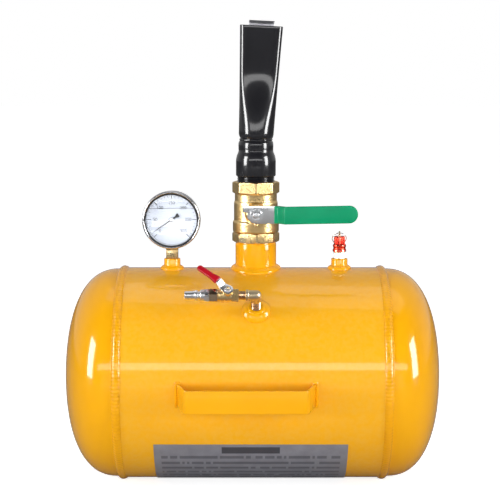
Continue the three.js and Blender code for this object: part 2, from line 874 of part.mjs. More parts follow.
// A point of the barrel's wall: angle round it, share of its height, inset from the outside.
function barrelPoint(angle, share, inset) {
  const footTaper = 1 - 0.12 * (1 - smoothstep(share, 0, 0.045)) ** 2;
  const pressed = smoothstep(share, 0.02, pressEnd);
  const halfWidth = lerp(barrelRadius, mouthHalfWidth, share ** 1.15) * footTaper - inset;
  const halfDepth = lerp(barrelRadius, mouthHalfThickness, pressed) * footTaper - inset;
  const power = lerp(1, 0.72, pressed);
  const bulge = (value) => Math.sign(value) * Math.abs(value) ** power;
  const x = halfWidth * bulge(Math.cos(angle));
  const flat = (1 - (x / halfWidth) ** 2) ** 2;
  const dent = Math.sin(angle) < 0 ? mouthDent * pressed * flat : 0;
  const y = halfDepth * bulge(Math.sin(angle)) + dent;
  return new THREE.Vector3(x, y, share * barrelHeight);
}

function nozzleBarrel() {
  const shares = [0, 0.03, 0.08, 0.24, 0.36, 0.48, 0.62, 1];
  const steps = 28;
  const sections = [];
  for (let i = 0; i < steps; i++) {
    const angle = (i / steps) * Math.PI * 2;
    const outside = shares.map((share) => barrelPoint(angle, share, 0));
    const inside = shares.map((share) => barrelPoint(angle, share, barrelWall)).reverse();
    sections.push([...outside, ...inside]);
  }
  return skinned(sections);
}

// A bent steel tab on the back of the mouth that catches the wheel's rim.
function rimHook() {
  const top = barrelHeight + hookShow;
  const back = mouthHalfThickness + seatGap;
  const t = hookThickness;
  const profile = new THREE.Shape();
  profile.moveTo(back, top - hookHeight);
  profile.lineTo(back, top - 3);
  profile.quadraticCurveTo(back, top, back + 3, top);
  profile.lineTo(back + hookLip, top - 1.2);
  profile.lineTo(back + hookLip, top - 1.2 - t);
  profile.lineTo(back + t + 1, top - t);
  profile.quadraticCurveTo(back + t, top - t, back + t, top - t - 1);
  profile.lineTo(back + t, top - hookHeight);
  const strip = extruded(profile, -hookWidth / 2, hookWidth / 2, 4);
  const axes = new THREE.Matrix4().makeBasis(
    new THREE.Vector3(0, 1, 0),
    new THREE.Vector3(0, 0, 1),
    new THREE.Vector3(1, 0, 0),
  );
  return strip.applyMatrix4(axes);
}

function addNozzle(parent) {
  piece(parent, "nozzle_base", nozzleBase(), blackPaint);
  const barrel = new THREE.Group();
  barrel.position.z = barrelFoot;
  barrel.rotation.y = degToRad(barrelLean);
  parent.add(barrel);
  // the leaning foot rises a little on one side, so it starts clear of the base
  const liftOff = Math.sin(degToRad(barrelLean)) * barrelRadius;
  const lift = new THREE.Group();
  lift.position.z = liftOff;
  barrel.add(lift);
  piece(lift, "nozzle_barrel", nozzleBarrel(), blackPaint);
  piece(lift, "rim_hook", rimHook(), steel);
}

// ---------------------------------------------------------------- dial gauge

const caseBore = gaugeRadius - gaugeWall;
const bezelRadius = gaugeRadius + bezelProud;
const bezelOpening = gaugeRadius - bezelLap;
const needleLength = gaugeRadius - needleMargin;
const bourdonRadius = gaugeRadius - bourdonMargin;
const lensBack = gaugeFront + gasketThickness + seatGap * 2;
const bezelFront = lensBack + lensThickness + seatGap + bezelLip;
const pinionRadius = (pinionTeeth * gearModule) / 2;
const sectorRadius = (sectorTeeth * gearModule) / 2;
const sectorPivot = -(pinionRadius + sectorRadius);
const socketWidth = 10;
const movementFront = dialFace - dialThickness - 2;
const gearFace = movementFront - 4.2; // front of the gears
const gearThickness = 1.4;
const movementBack = gearFace - 4.6;
const socketTop = bourdonThickness * 0.8 - bourdonRadius; // from the dial's centre

function gaugeStem() {
  const squareFoot = seatGap;
  const squareTop = squareFoot + gaugeSquareHeight;
  const socketFoot = gaugeHeight - gaugeRadius + gaugeWall * 2;
  const socketHeight = gaugeHeight + socketTop - socketFoot;
  const thread = rod(gaugeThreadRadius, -bungHeight + 2, squareFoot + 1);
  const square = block(gaugeSquare, gaugeSquare, gaugeSquareHeight, 0, 0, (squareFoot + squareTop) / 2);
  const neck = rod(gaugeThreadRadius, squareTop - 1, socketFoot + 1);
  const socket = block(socketWidth, 9, socketHeight, 0, 1, socketFoot + socketHeight / 2);
  // a tongue behind the movement, which is screwed to it
  const tongueTop = gaugeHeight + sectorPivot + 3;
  const tongueFront = -movementBack + seatGap;
  const tongueBack = 5.5;
  const tongue = block(socketWidth, tongueBack - tongueFront, tongueTop - socketFoot);
  tongue.translate(0, (tongueBack + tongueFront) / 2, (tongueTop + socketFoot) / 2);
  return cut(join(thread, square, neck, socket, tongue), rod(1.5, -bungHeight, socketFoot + 4));
}

function gaugeCase() {
  const cup = turned(
    [
      [0, gaugeBack],
      [gaugeRadius - 2, gaugeBack],
      [gaugeRadius, gaugeBack + 2],
      [gaugeRadius, gaugeFront],
      [caseBore, gaugeFront],
      [caseBore, gaugeBack + gaugeWall],
      [0, gaugeBack + gaugeWall],
    ],
  );
  const stemHole = rod(gaugeThreadRadius + seatGap, -gaugeRadius - 5, -gaugeRadius + 8);
  const ventHole = rod(plugRadius - 2, gaugeBack - 1, gaugeBack + gaugeWall + 1);
  return cut(facing(cup), stemHole, facing(ventHole.translate(0, gaugeRadius * 0.55, 0)));
}

function gaugeBezel() {
  const foot = bezelFront - bezelDepth;
  const inside = gaugeRadius + seatGap;
  const lip = bezelFront - bezelLip;
  return facing(
    turned(
      [
        [inside, foot],
        [bezelRadius, foot],
        [bezelRadius, bezelFront - 2],
        [bezelRadius - 0.8, bezelFront - 0.4],
        [bezelRadius - 2, bezelFront],
        [bezelOpening, bezelFront - 0.5],
        [bezelOpening, lip],
        [inside, lip],
      ],
    ),
  );
}

function gaugeFillPlug() {
  const head = turned(
    [
      [0, gaugeBack - 2.6],
      [plugRadius - 1, gaugeBack - 2.6],
      [plugRadius, gaugeBack - 1.8],
      [plugRadius, gaugeBack - seatGap],
      [plugRadius - 2 - seatGap, gaugeBack - seatGap],
      [plugRadius - 2 - seatGap, gaugeBack + gaugeWall + 1.5],
      [0, gaugeBack + gaugeWall + 1.5],
    ],
  );
  return facing(head.translate(0, gaugeRadius * 0.55, 0));
}

// The pointer from the front, drawn along +X from its hub.
function gaugeNeedle() {
  const blade = outlineOf([
    [-needleTail, -2.6],
    [-needleTail + 3.6, -0.9],
    [-2, -0.9],
    [2, -0.8],
    [needleLength, -0.25],
    [needleLength, 0.25],
    [2, 0.8],
    [-2, 0.9],
    [-needleTail + 3.6, 0.9],
    [-needleTail, 2.6],
  ]);
  const flat = extruded(blade, dialFace + 1.6, dialFace + 2.2);
  const hub = rod(2.7, dialFace + 1, dialFace + 3.2);
  const made = cut(join(flat, hub), rod(pointerShaft + seatGap, dialFace, dialFace + 2.6));
  return facing(made.rotateZ(degToRad(needleAngle)));
}

function gaugePinion() {
  const points = [];
  for (let i = 0; i < pinionTeeth; i++) {
    points.push(...toothPoints(pinionRadius, (i * 360) / pinionTeeth - 90, 1 - gearBacklash));
  }
  const gear = extruded(outlineOf(points), gearFace - gearThickness - 0.4, gearFace + 0.4);
  const shaft = rod(pointerShaft, movementBack + 0.2, dialFace + 2.3);
  return facing(join(gear, shaft));
}

// The toothed sector, its teeth towards the pinion, turned back to where it is at rest.
function gaugeSector() {
  const pitch = 360 / sectorTeeth;
  const spread = Math.ceil((sectorSweep / 2 + pitch) / pitch);
  // whole pitches, so that a gap stays opposite the pinion's lowest tooth
  const back = Math.round(sectorSweep / 2 / pitch) * pitch;
  const points = [[0, -2]];
  for (let i = -spread; i < spread; i++) {
    const angle = 90 - back + (i + 0.5) * pitch;
    points.push(...toothPoints(sectorRadius, angle, 1 - gearBacklash));
  }
  const plate = extruded(outlineOf(points), gearFace - gearThickness, gearFace);
  const hub = rod(2.4, gearFace - gearThickness, gearFace);
  const tailLength = (bourdonRadius - bourdonThickness + sectorPivot) * 0.85;
  const tail = block(2.2, tailLength, gearThickness, 0, -tailLength / 2, gearFace - gearThickness / 2);
  tail.rotateZ(degToRad(45));
  const arbor = rod(pointerShaft, movementBack + 0.2, movementFront - 0.2);
  return facing(join(plate, hub, tail, arbor).translate(0, sectorPivot, 0));
}

// Two brass plates on pillars that carry the pinion's and the sector's arbors.
function movementFrame() {
  const plateThickness = 1;
  const backFace = movementBack;
  const halfWidth = 12;
  const plateAt = (from, low) =>
    block(halfWidth * 2, 5 - low, plateThickness).translate(0, (5 + low) / 2, from);
  const low = socketTop + seatGap;
  const front = plateAt(movementFront - plateThickness / 2, low);
  const back = plateAt(backFace + plateThickness / 2, low);
  const pillar = () => rod(1.2, backFace + 0.2, movementFront - 0.2);
  const holes = [0, sectorPivot].map((y) =>
    rod(pointerShaft + runningGap, backFace - 1, movementFront + 1).translate(0, y, 0),
  );
  const frame = join(
    front,
    back,
    pillar().translate(halfWidth - 1.6, 3, 0),
    pillar().translate(-halfWidth + 1.6, 3, 0),
  );
  return facing(cut(frame, ...holes));
}

// The pressure spring, a flattened tube bent to a C, from the socket to its closed tip.
function bourdonTube() {
  const half = bourdonThickness / 2;
  // its fixed end stands beside the socket
  const beside = Math.asin((socketWidth / 2 + seatGap * 2) / bourdonRadius);
  const [start, end] = [degToRad(-34), Math.PI * 1.5 - beside];
  const shape = new THREE.Shape();
  shape.absarc(0, 0, bourdonRadius + half, start, end, false);
  shape.absarc(0, 0, bourdonRadius - half, end, start, true);
  const platesApart = 1 + seatGap; // a plate and its gap on either side
  return facing(extruded(shape, movementBack + platesApart, movementFront - platesApart, 20));
}

function addGauge(parent) {
  const gauge = new THREE.Group();
  gauge.position.set(-bungSpacing, 0, bungTop);
  parent.add(gauge);
  piece(gauge, "gauge_stem", gaugeStem(), brass);
  const dial = new THREE.Group();
  dial.position.z = gaugeHeight;
  gauge.add(dial);
  piece(dial, "gauge_case", gaugeCase(), stainless);
  piece(dial, "gauge_bezel", gaugeBezel(), stainless);
  const lens = rod(gaugeRadius, lensBack, lensBack + lensThickness);
  piece(dial, "gauge_lens", facing(lens), glass);
  const gasket = tube(caseBore - 1, gaugeRadius, gaugeFront + seatGap, lensBack - seatGap);
  piece(dial, "gauge_gasket", facing(gasket), rubber);
  const plate = tube(1.6, caseBore - seatGap, dialFace - dialThickness, dialFace);
  piece(dial, "gauge_dial", facing(plate), dialWhite);
  piece(dial, "gauge_needle", gaugeNeedle(), needleBlack);
  piece(dial, "gauge_pinion", gaugePinion(), brass);
  piece(dial, "gauge_sector", gaugeSector(), brass);
  piece(dial, "gauge_movement_frame", movementFrame(), brass);
  piece(dial, "gauge_bourdon_tube", bourdonTube(), brass);
  piece(dial, "gauge_fill_plug", gaugeFillPlug(), rubber);
}

// ---------------------------------------------------------------- relief valve, above its boss

const reliefHexTop = seatGap + reliefHexHeight;
const reliefSpigotTop = reliefHexTop + 6;
const bonnetFoot = reliefHexTop + seatGap;
const bonnetTop = bonnetFoot + bonnetHeight + bonnetTopHeight;
const discFoot = 4.5;
const discThickness = 2;
const flangeFoot = discFoot + discThickness + seatGap;
const flangeTop = flangeFoot + 1.4;
const springTop = bonnetTop - 4.2;
const eyeHeight = bonnetTop + 3.6;

function reliefBody() {
  const hex = nutBlank(6, hexCorner(reliefFlats), seatGap, reliefHexTop, 0.7);
  const thread = rod(reliefThreadRadius, -bungHeight + 2, seatGap + 1);
  const spigot = rod(5.6, reliefHexTop - 1, reliefSpigotTop);
  return cut(
    join(hex, thread, spigot),
    rod(2.4, -bungHeight, reliefHexTop),
    rod(4.5, discFoot - seatGap, reliefSpigotTop + 1),
  );
}

function reliefBonnet() {
  const step = bonnetFoot + bonnetHeight;
  return turned(
    [
      [5.6 + seatGap, bonnetFoot],
      [bonnetRadius - 0.6, bonnetFoot],
      [bonnetRadius, bonnetFoot + 0.6],
      [bonnetRadius, step - 0.6],
      [bonnetRadius - 0.6, step],
      [bonnetTopRadius, step],
      [bonnetTopRadius, bonnetTop - 1],
      [bonnetTopRadius - 1, bonnetTop],
      [spindleRadius + runningGap, bonnetTop],
      [spindleRadius + runningGap, springTop + seatGap],
      [4.4, springTop + seatGap],
      [4.4, reliefSpigotTop + seatGap],
      [5.6 + seatGap, reliefSpigotTop + seatGap],
    ],
  );
}

function reliefSpindle() {
  const stem = turned(
    [
      [0, flangeFoot],
      [4.1, flangeFoot],
      [4.1, flangeTop],
      [spindleRadius, flangeTop],
      [spindleRadius, eyeHeight - 1.5],
      [0, eyeHeight - 1.5],
    ],
  );
  const eye = leftward(rod(2.5, -0.9, 0.9)).translate(0, 0, eyeHeight);
  const hole = leftward(rod(pullRingWire + 0.55, -3, 3)).translate(0, 0, eyeHeight);
  return cut(join(stem, eye), hole);
}

function reliefSpring() {
  const [low, high] = [flangeTop + seatGap + springWire, springTop - springWire];
  class Helix extends THREE.Curve {
    getPoint(share) {
      const turn = share * springTurns * Math.PI * 2;
      const z = lerp(low, high, share);
      return new THREE.Vector3(springRadius * Math.cos(turn), springRadius * Math.sin(turn), z);
    }
  }
  const wire = new THREE.Shape().absarc(0, 0, springWire, 0, Math.PI * 2);
  const made = new THREE.ExtrudeGeometry(wire, {
    extrudePath: new Helix(),
    steps: springTurns * 8,
    curveSegments: 3,
    bevelEnabled: false,
  });
  return weld(made);
}

function pullRing() {
  const ring = new THREE.TorusGeometry(pullRingRadius, pullRingWire, 6, 28);
  // the torus lies in XY: its top passes through the eye, and it hangs back and down from there
  ring.translate(0, -pullRingRadius, 0);
  ring.rotateX(Math.PI / 2 + degToRad(pullRingTilt));
  return ring.translate(0, 0, eyeHeight);
}

function addReliefValve(parent) {
  const relief = new THREE.Group();
  relief.position.set(bungSpacing, 0, bungTop);
  parent.add(relief);
  piece(relief, "relief_body", reliefBody(), brass);
  piece(relief, "relief_bonnet", reliefBonnet(), redAnodised);
  const disc = rod(4, discFoot, discFoot + discThickness);
  piece(relief, "relief_disc", disc, rubber);
  piece(relief, "relief_spindle", reliefSpindle(), brass);
  piece(relief, "relief_spring", reliefSpring(), steel);
  piece(relief, "pull_ring", pullRing(), steel);
}

// ---------------------------------------------------------------- filling line

// Distances along the line, to the left of the boss's axis.
const nippleStart = elbowLeg + seatGap;
const bodyStart = elbowLeg + nippleLength;
const bodyEnd = bodyStart + fillBodyLength;
const capEnd = bodyEnd + fillCapLength;
const airPlugStart = capEnd + seatGap;
const fillChamberBore = fillBallRadius + 0.6;
const fillSeatEnd = fillBallRadius + 1.6; // chamber's end from the ball's centre

function fillElbow() {
  const spine = turned(
    [
      [0, tankRadius + 2],
      [fillBore - seatGap, tankRadius + 2],
      [fillBore - seatGap, tankRadius + fillBungHeight + 2],
      [elbowRadius, tankRadius + fillBungHeight + 2],
      [elbowRadius, fillZ],
      [0, fillZ],
    ],
  );
  const leg = leftward(rod(elbowRadius, 0, elbowLeg)).translate(0, 0, fillZ);
  const corner = new THREE.SphereGeometry(elbowRadius, 12, 8).translate(0, 0, fillZ);
  const bore = fillPortRadius;
  return cut(
    join(spine, leg, corner),
    rod(bore, tankRadius, fillZ),
    leftward(rod(bore, 0, elbowLeg + 1)).translate(0, 0, fillZ),
  );
}

// A piece of the line, drawn along +Z as distance to the left.
function onLine(geometry) {
  return leftward(geometry).translate(0, 0, fillZ);
}

function fillNipple() {
  const end = bodyStart + 4;
  return onLine(
    turned(
      [
        [fillPortRadius, nippleStart],
        [nippleRadius, nippleStart],
        [nippleRadius, bodyStart - seatGap],
        [nippleRadius - 0.3, bodyStart - seatGap],
        [nippleRadius - 0.3, end],
        [fillPortRadius, end],
      ],
    ),
  );
}

function fillValveBody() {
  const middle = -fillStemX;
  const corner = hexCorner(fillBodyFlats);
  const hex = nutBlank(6, corner, bodyStart, bodyStart + 8, 0.7);
  const chamber = turned(
    [
      [0, bodyStart + 6],
      [fillChamberRadius - 1.2, bodyStart + 6],
      [fillChamberRadius, middle - 3.5],
      [fillChamberRadius, bodyEnd - 3],
      [fillChamberRadius - 0.8, bodyEnd - seatGap],
      [0, bodyEnd - seatGap],
    ],
  );
  const bossTop = fillBossHeight;
  const boss = rod(5, 0, bossTop).translate(fillStemX, 0, fillZ);
  const chamberEnd = middle - fillSeatEnd;
  return cut(
    join(onLine(join(hex, chamber)), boss),
    onLine(rod(nippleRadius, bodyStart - 1, bodyStart + 4 + seatGap)),
    onLine(rod(fillPortRadius, bodyStart, bodyEnd)),
    onLine(rod(fillChamberBore, chamberEnd, bodyEnd + 1)),
    rod(fillStemRadius + runningGap, 0, bossTop + 1).translate(fillStemX, 0, fillZ),
  );
}

function fillValveCap() {
  const middle = -fillStemX;
  const corner = hexCorner(fillCapFlats);
  const hex = nutBlank(6, corner, bodyEnd, capEnd, 0.7);
  const spigot = rod(fillChamberBore - seatGap, middle + fillSeatEnd, bodyEnd + 1);
  return onLine(cut(join(hex, spigot), rod(fillPortRadius, 0, capEnd + 1)));
}

function fillValveBall() {
  const ball = new THREE.SphereGeometry(fillBallRadius, 16, 10);
  const bore = leftward(rod(fillPortRadius, -fillBallRadius * 1.1, fillBallRadius * 1.1));
  const slot = block(20, 2.4 + seatGap, 3, 0, 0, fillBallRadius - 0.4);
  return cut(ball, bore, slot);
}

function fillValveSeat() {
  const top = fillSeatEnd - seatGap;
  const ring = tube(fillPortRadius + 0.1, fillChamberBore - seatGap, top - 3.4, top);
  return leftward(cut(ring, new THREE.SphereGeometry(fillBallRadius + runningGap, 20, 14)));
}

const fillHubFoot = fillBossHeight + 0.8;
const fillHubTop = fillHubFoot + fillLeverThickness;

function fillStem() {
  const tongueFoot = fillBallRadius - 1.9 + seatGap;
  const shaft = turned(
    [
      [0, fillBallRadius + 0.2],
      [fillStemRadius, fillBallRadius + 0.2],
      [fillStemRadius, fillHubFoot - seatGap],
      [1.7, fillHubFoot - seatGap],
      [1.7, fillHubTop + 3.6],
      [0, fillHubTop + 3.6],
    ],
  );
  const tongue = block(3.6, 2, fillBallRadius + 1 - tongueFoot);
  return join(shaft, tongue.translate(0, 0, (tongueFoot + fillBallRadius + 1) / 2));
}

// The small lever's section from the side: hub, a short rise and the arm, along -X.
function fillLeverBand(start, end, backOffset, thickness) {
  const low = fillHubFoot - backOffset;
  const high = low + fillLeverRise;
  const front = thickness - backOffset;
  return outlineOf([
    [-start, low],
    [-8 - backOffset * 0.5, low],
    [-13 - backOffset * 0.5, high],
    [-end, high],
    [-end, high + thickness],
    [-13 + front * 0.5, high + thickness],
    [-8 + front * 0.5, low + thickness],
    [-start, low + thickness],
  ]);
}

function standingAcross(band, halfWidth) {
  return extruded(band, -halfWidth, halfWidth).rotateX(Math.PI / 2);
}

// The small lever from above: a hub or a square end, then the arm along -X.
function fillLeverPlan(hubRadius, start, waist, tip, end) {
  const shape = new THREE.Shape();
  if (hubRadius > 0) {
    shape.absarc(0, 0, hubRadius, -Math.PI * 0.62, Math.PI * 0.62, false);
  } else {
    shape.moveTo(-start, -waist);
  }
  shape.lineTo(-start, waist);
  shape.lineTo(-24, tip);
  shape.lineTo(-end + tip, tip);
  shape.quadraticCurveTo(-end, tip, -end, 0);
  shape.quadraticCurveTo(-end, -tip, -end + tip, -tip);
  shape.lineTo(-24, -tip);
  if (hubRadius > 0) shape.lineTo(-start, -waist);
  return shape;
}

function fillLeverPlate() {
  const end = fillLeverLength - 1.4;
  const band = standingAcross(fillLeverBand(-7, end, 0, fillLeverThickness), 8);
  const plan = extruded(fillLeverPlan(6, 14, 3.6, 1.9, end), 0, fillHubTop + 20, 6);
  return cut(common(band, plan), rod(1.7 + seatGap, 0, fillHubTop + 20));
}

function fillLeverSleeve() {
  const wall = 1.3;
  const end = fillLeverLength;
  const foot = fillHubFoot + fillLeverRise - wall;
  const top = foot + fillLeverThickness + wall * 2;
  const skin = extruded(fillLeverPlan(0, 14.5, 5, 3.2, end), foot, top, 6);
  const room = fillLeverThickness + seatGap * 2;
  const slotEnd = end - 1.4 + seatGap;
  const slotPlan = fillLeverPlan(6, 14, 3.6 + seatGap, 1.9 + seatGap, slotEnd);
  const slot = common(
    standingAcross(fillLeverBand(6, slotEnd, seatGap, room), 8),
    extruded(slotPlan, 0, fillHubTop + 20, 6),
  );
  return cut(skin, slot);
}

function fillLeverNut() {
  const from = fillHubTop + seatGap;
  const hex = nutBlank(6, hexCorner(7), from, from + 2.6, 0.5);
  return cut(hex, rod(1.7 + seatGap, from - 1, from + 6));
}

// The male quick-connect plug, drawn as distance to the left.
function airPlug() {
  const start = airPlugStart;
  const hex = nutBlank(6, hexCorner(airPlugHexFlats), start, start + 5.2, 0.6);
  const body = turned(
    [
      [0, start + 4],
      [5.8, start + 4],
      [6.3, start + 5.8],
      [6.3, start + 9.2],
      [4.6, start + 10],
      [4.6, start + 12],
      [5.7, start + 12.8],
      [5.7, start + 15.2],
      [5.1, start + 16.4],
      [4.5, start + 26.4],
      [4, start + 27.4],
      [0, start + 27.4],
    ],
  );
  return onLine(cut(join(hex, body), rod(airPlugBore, start - 1, start + 29)));
}

function addFillingLine(parent) {
  const line = new THREE.Group();
  line.rotation.x = degToRad(90 - fillAngle);
  parent.add(line);
  piece(line, "fill_bung", fillBung(), yellowPaint);
  piece(line, "fill_elbow", fillElbow(), brass);
  piece(line, "fill_nipple", fillNipple(), darkBrass);
  piece(line, "fill_valve_body", fillValveBody(), brass);
  piece(line, "fill_valve_cap", fillValveCap(), darkBrass);
  piece(line, "air_plug", airPlug(), plated);
  const core = new THREE.Group();
  core.position.set(fillStemX, 0, fillZ);
  line.add(core);
  piece(core, "fill_valve_seat_outer", fillValveSeat(), fluoropolymer);
  piece(core, "fill_valve_seat_inner", fillValveSeat().rotateY(Math.PI), fluoropolymer);
  const handle = new THREE.Group();
  handle.rotation.z = -degToRad(fillLeverAngle);
  core.add(handle);
  piece(handle, "fill_valve_ball", fillValveBall(), plated);
  piece(handle, "fill_valve_stem", fillStem(), brass);
  piece(handle, "fill_lever_plate", fillLeverPlate(), plated);
  piece(handle, "fill_lever_sleeve", fillLeverSleeve(), redVinyl);
  piece(handle, "fill_lever_nut", fillLeverNut(), plated);
}

// ---------------------------------------------------------------- assembly

const beadSeater = new THREE.Group();
const onAxis = new THREE.Group(); // everything inside is placed from the tank's axis
onAxis.position.set(0, axisY, axisZ);
beadSeater.add(onAxis);
addTank(onAxis);
const fittings = new THREE.Group();
fittings.position.x = neckOffset;
onAxis.add(fittings);
addBosses(fittings);
addMainValve(fittings);
addNozzle(fittings);
addGauge(fittings);
addReliefValve(fittings);
addFillingLine(fittings);

export default beadSeater;
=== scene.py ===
import json
import math
import bpy
from mathutils import Matrix, Vector


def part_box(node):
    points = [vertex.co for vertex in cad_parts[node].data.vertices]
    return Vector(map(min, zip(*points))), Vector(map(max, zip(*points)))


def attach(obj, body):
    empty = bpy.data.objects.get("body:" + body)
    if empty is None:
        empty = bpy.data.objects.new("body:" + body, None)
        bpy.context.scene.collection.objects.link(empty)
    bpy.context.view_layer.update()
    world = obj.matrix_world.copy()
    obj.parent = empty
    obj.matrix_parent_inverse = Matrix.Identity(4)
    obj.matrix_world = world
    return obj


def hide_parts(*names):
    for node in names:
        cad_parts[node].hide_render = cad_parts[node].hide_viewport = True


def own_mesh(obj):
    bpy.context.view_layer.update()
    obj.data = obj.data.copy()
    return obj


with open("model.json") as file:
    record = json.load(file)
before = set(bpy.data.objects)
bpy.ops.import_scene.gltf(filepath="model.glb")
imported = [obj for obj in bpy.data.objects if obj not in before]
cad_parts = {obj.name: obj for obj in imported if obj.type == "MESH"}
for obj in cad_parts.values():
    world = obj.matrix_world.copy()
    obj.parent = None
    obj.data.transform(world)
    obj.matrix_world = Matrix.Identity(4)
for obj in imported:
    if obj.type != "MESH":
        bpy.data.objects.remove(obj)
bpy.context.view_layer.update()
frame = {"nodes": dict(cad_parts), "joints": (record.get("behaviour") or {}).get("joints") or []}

mm = 0.001
right = Vector((1, 0, 0))
left = Vector((-1, 0, 0))
back = Vector((0, 1, 0))
front = Vector((0, -1, 0))
up = Vector((0, 0, 1))


def middle(node):
    low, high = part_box(node)
    return (low + high) / 2


# everything is placed from the CAD: the tank's axis, and the upright line that each fitting stands on
tankAxis = middle("tank_shell")
neckLine = Vector((middle("outlet_neck").x, tankAxis.y, tankAxis.z))
gaugeLine = Vector((middle("gauge_bung").x, tankAxis.y, tankAxis.z))
reliefLine = Vector((middle("relief_bung").x, tankAxis.y, tankAxis.z))
joints = {joint["name"]: joint for joint in frame["joints"]}
valveCentre = Vector((neckLine.x, tankAxis.y, joints["main_lever_turn"]["pos_m"][2]))
dialCentre = Vector((middle("gauge_dial").x, tankAxis.y, middle("gauge_dial").z))
fillOut = Vector(joints["fill_lever_turn"]["axis"]).normalized()  # the way the filling boss points
fillUp = fillOut.cross(right)  # along the shell, upwards
fillPivot = Vector(joints["fill_lever_turn"]["pos_m"])  # where the small valve's stem crosses its line
fillCorner = Vector((neckLine.x, fillPivot.y, fillPivot.z))  # where the elbow turns

# ---- camera first, so that every look is from the same place

camera = {
    "lens": 105.84,
    "sensor": 36,
    "distance": 1727.4,  # in front of the tank's axis
    "height": 367.2,  # above it
    "aside": -2.9,
    "tilt": 82.722,
}
view = bpy.data.cameras.new("camera")
view.lens = camera["lens"]
view.sensor_width = camera["sensor"]
view.clip_end = 60
cameraObject = bpy.data.objects.new("camera", view)
bpy.context.scene.collection.objects.link(cameraObject)
cameraObject.location = tankAxis + Vector((camera["aside"], -camera["distance"], camera["height"])) * mm
cameraObject.rotation_euler = (math.radians(camera["tilt"]), 0, 0)
bpy.context.scene.camera = cameraObject
print("camera set")

# ---- modelling helpers

weldDistance = 2e-6  # points nearer than this are one


def named(piece, name):
    piece.name = name
    piece.data.name = name
    return piece


def startPiece(name):
    return named(bpy.context.object, name)


def editAll():
    bpy.ops.object.mode_set(mode="EDIT")
    bpy.ops.mesh.select_all(action="SELECT")


def only(piece):
    bpy.ops.object.select_all(action="DESELECT")
    piece.select_set(True)
    bpy.context.view_layer.objects.active = piece


def cleaned(piece):
    only(piece)
    editAll()
    bpy.ops.mesh.remove_doubles(threshold=weldDistance)
    bpy.ops.mesh.normals_make_consistent(inside=False)
    bpy.ops.object.mode_set(mode="OBJECT")
    return piece


def applied(piece):
    only(piece)
    bpy.ops.object.transform_apply(location=True, rotation=True, scale=True)
    return piece


def drawLine(name, points, closed):
    # one vertex, pulled along the points
    bpy.ops.object.select_all(action="DESELECT")
    bpy.ops.mesh.primitive_plane_add(size=mm, location=points[0])
    piece = startPiece(name)
    editAll()
    bpy.ops.mesh.merge(type="CENTER")
    route = points[1:] + (points[:1] if closed else [])
    here = points[0]
    for there in route:
        bpy.ops.mesh.extrude_vertices_move(TRANSFORM_OT_translate={"value": there - here})
        here = there
    bpy.ops.mesh.select_all(action="SELECT")
    bpy.ops.mesh.remove_doubles(threshold=weldDistance)
    return piece  # still in edit mode


def turnedForm(name, outline, centre, axis, steps=72):
    # outline: (radius, distance along the axis) in mm, spun round the axis
    side = axis.orthogonal().normalized()
    points = [centre + side * radius * mm + axis * along * mm for radius, along in outline]
    solid = outline[0][0] == 0 and outline[-1][0] == 0
    piece = drawLine(name, points, not solid)
    bpy.ops.mesh.spin(steps=steps, angle=math.tau, center=centre, axis=axis)
    bpy.ops.object.mode_set(mode="OBJECT")
    return cleaned(piece)


def plateForm(name, outline, place, across, upward):
    # a flat face drawn in the plane of two directions
    points = [place + across * x * mm + upward * y * mm for x, y in outline]
    piece = drawLine(name, points, True)
    bpy.ops.mesh.edge_face_add()
    return piece  # still in edit mode


def useModifier(piece, kind, **settings):
    only(piece)
    modifier = piece.modifiers.new(kind.title(), kind)
    for key, value in settings.items():
        setattr(modifier, key, value)
    bpy.ops.object.modifier_apply(modifier=modifier.name)
    return piece


def thickened(piece, thickness, offset=0):
    return useModifier(piece, "SOLIDIFY", thickness=thickness * mm, offset=offset, use_even_offset=True)


def softEdges(piece, width=0.3, segments=2, angle=30):
    return useModifier(piece, "BEVEL", width=width * mm, segments=segments, limit_method="ANGLE",
                       angle_limit=math.radians(angle), harden_normals=False)


def combined(piece, other, how):
    # how: UNION, DIFFERENCE or INTERSECT; the other form is used up
    useModifier(piece, "BOOLEAN", object=other, operation=how, solver="EXACT")
    bpy.data.objects.remove(other)
    return piece


def joined(first, *others):
    only(first)
    for other in others:
        other.select_set(True)
    bpy.ops.object.join()
    return first


def castForm(name, forms, grain, passes=3):
    # separate solids grown into one casting with soft inside corners
    piece = named(joined(*forms), name)
    useModifier(piece, "REMESH", mode="VOXEL", voxel_size=grain * mm, use_smooth_shade=True)
    useModifier(piece, "SMOOTH", factor=0.5, iterations=passes)
    return piece


def nutForm(name, sides, corner, low, high, chamfer, centre, axis, cornerWay, steps=72):
    # a prism whose corners are cut back by a cone at both ends
    flat = axis.cross(cornerWay) * -1
    turn = Matrix((flat, cornerWay, axis)).transposed().to_euler()
    bpy.ops.object.select_all(action="DESELECT")
    bpy.ops.mesh.primitive_cylinder_add(vertices=sides, radius=corner * mm, depth=(high - low) * mm,
                                        location=centre + axis * (low + high) / 2 * mm, rotation=turn)
    piece = startPiece(name)
    slope = chamfer * 0.5
    wide = corner + 0.02
    envelope = turnedForm(name + "Envelope", [(0, low - 0.01), (corner - chamfer, low - 0.01),
                          (wide, low + slope), (wide, high - slope), (corner - chamfer, high + 0.01),
                          (0, high + 0.01)], centre, axis, steps)
    return combined(piece, envelope, "INTERSECT")


def threadOutline(radius, low, high, pitch, depth):
    # crests and roots between two heights
    count = max(1, round((high - low) / pitch))
    step = (high - low) / count
    points = [(radius - depth, low)]
    for turn in range(count):
        points.append((radius, low + step * (turn + 0.35)))
        points.append((radius, low + step * (turn + 0.6)))
        points.append((radius - depth, low + step * (turn + 1)))
    return points


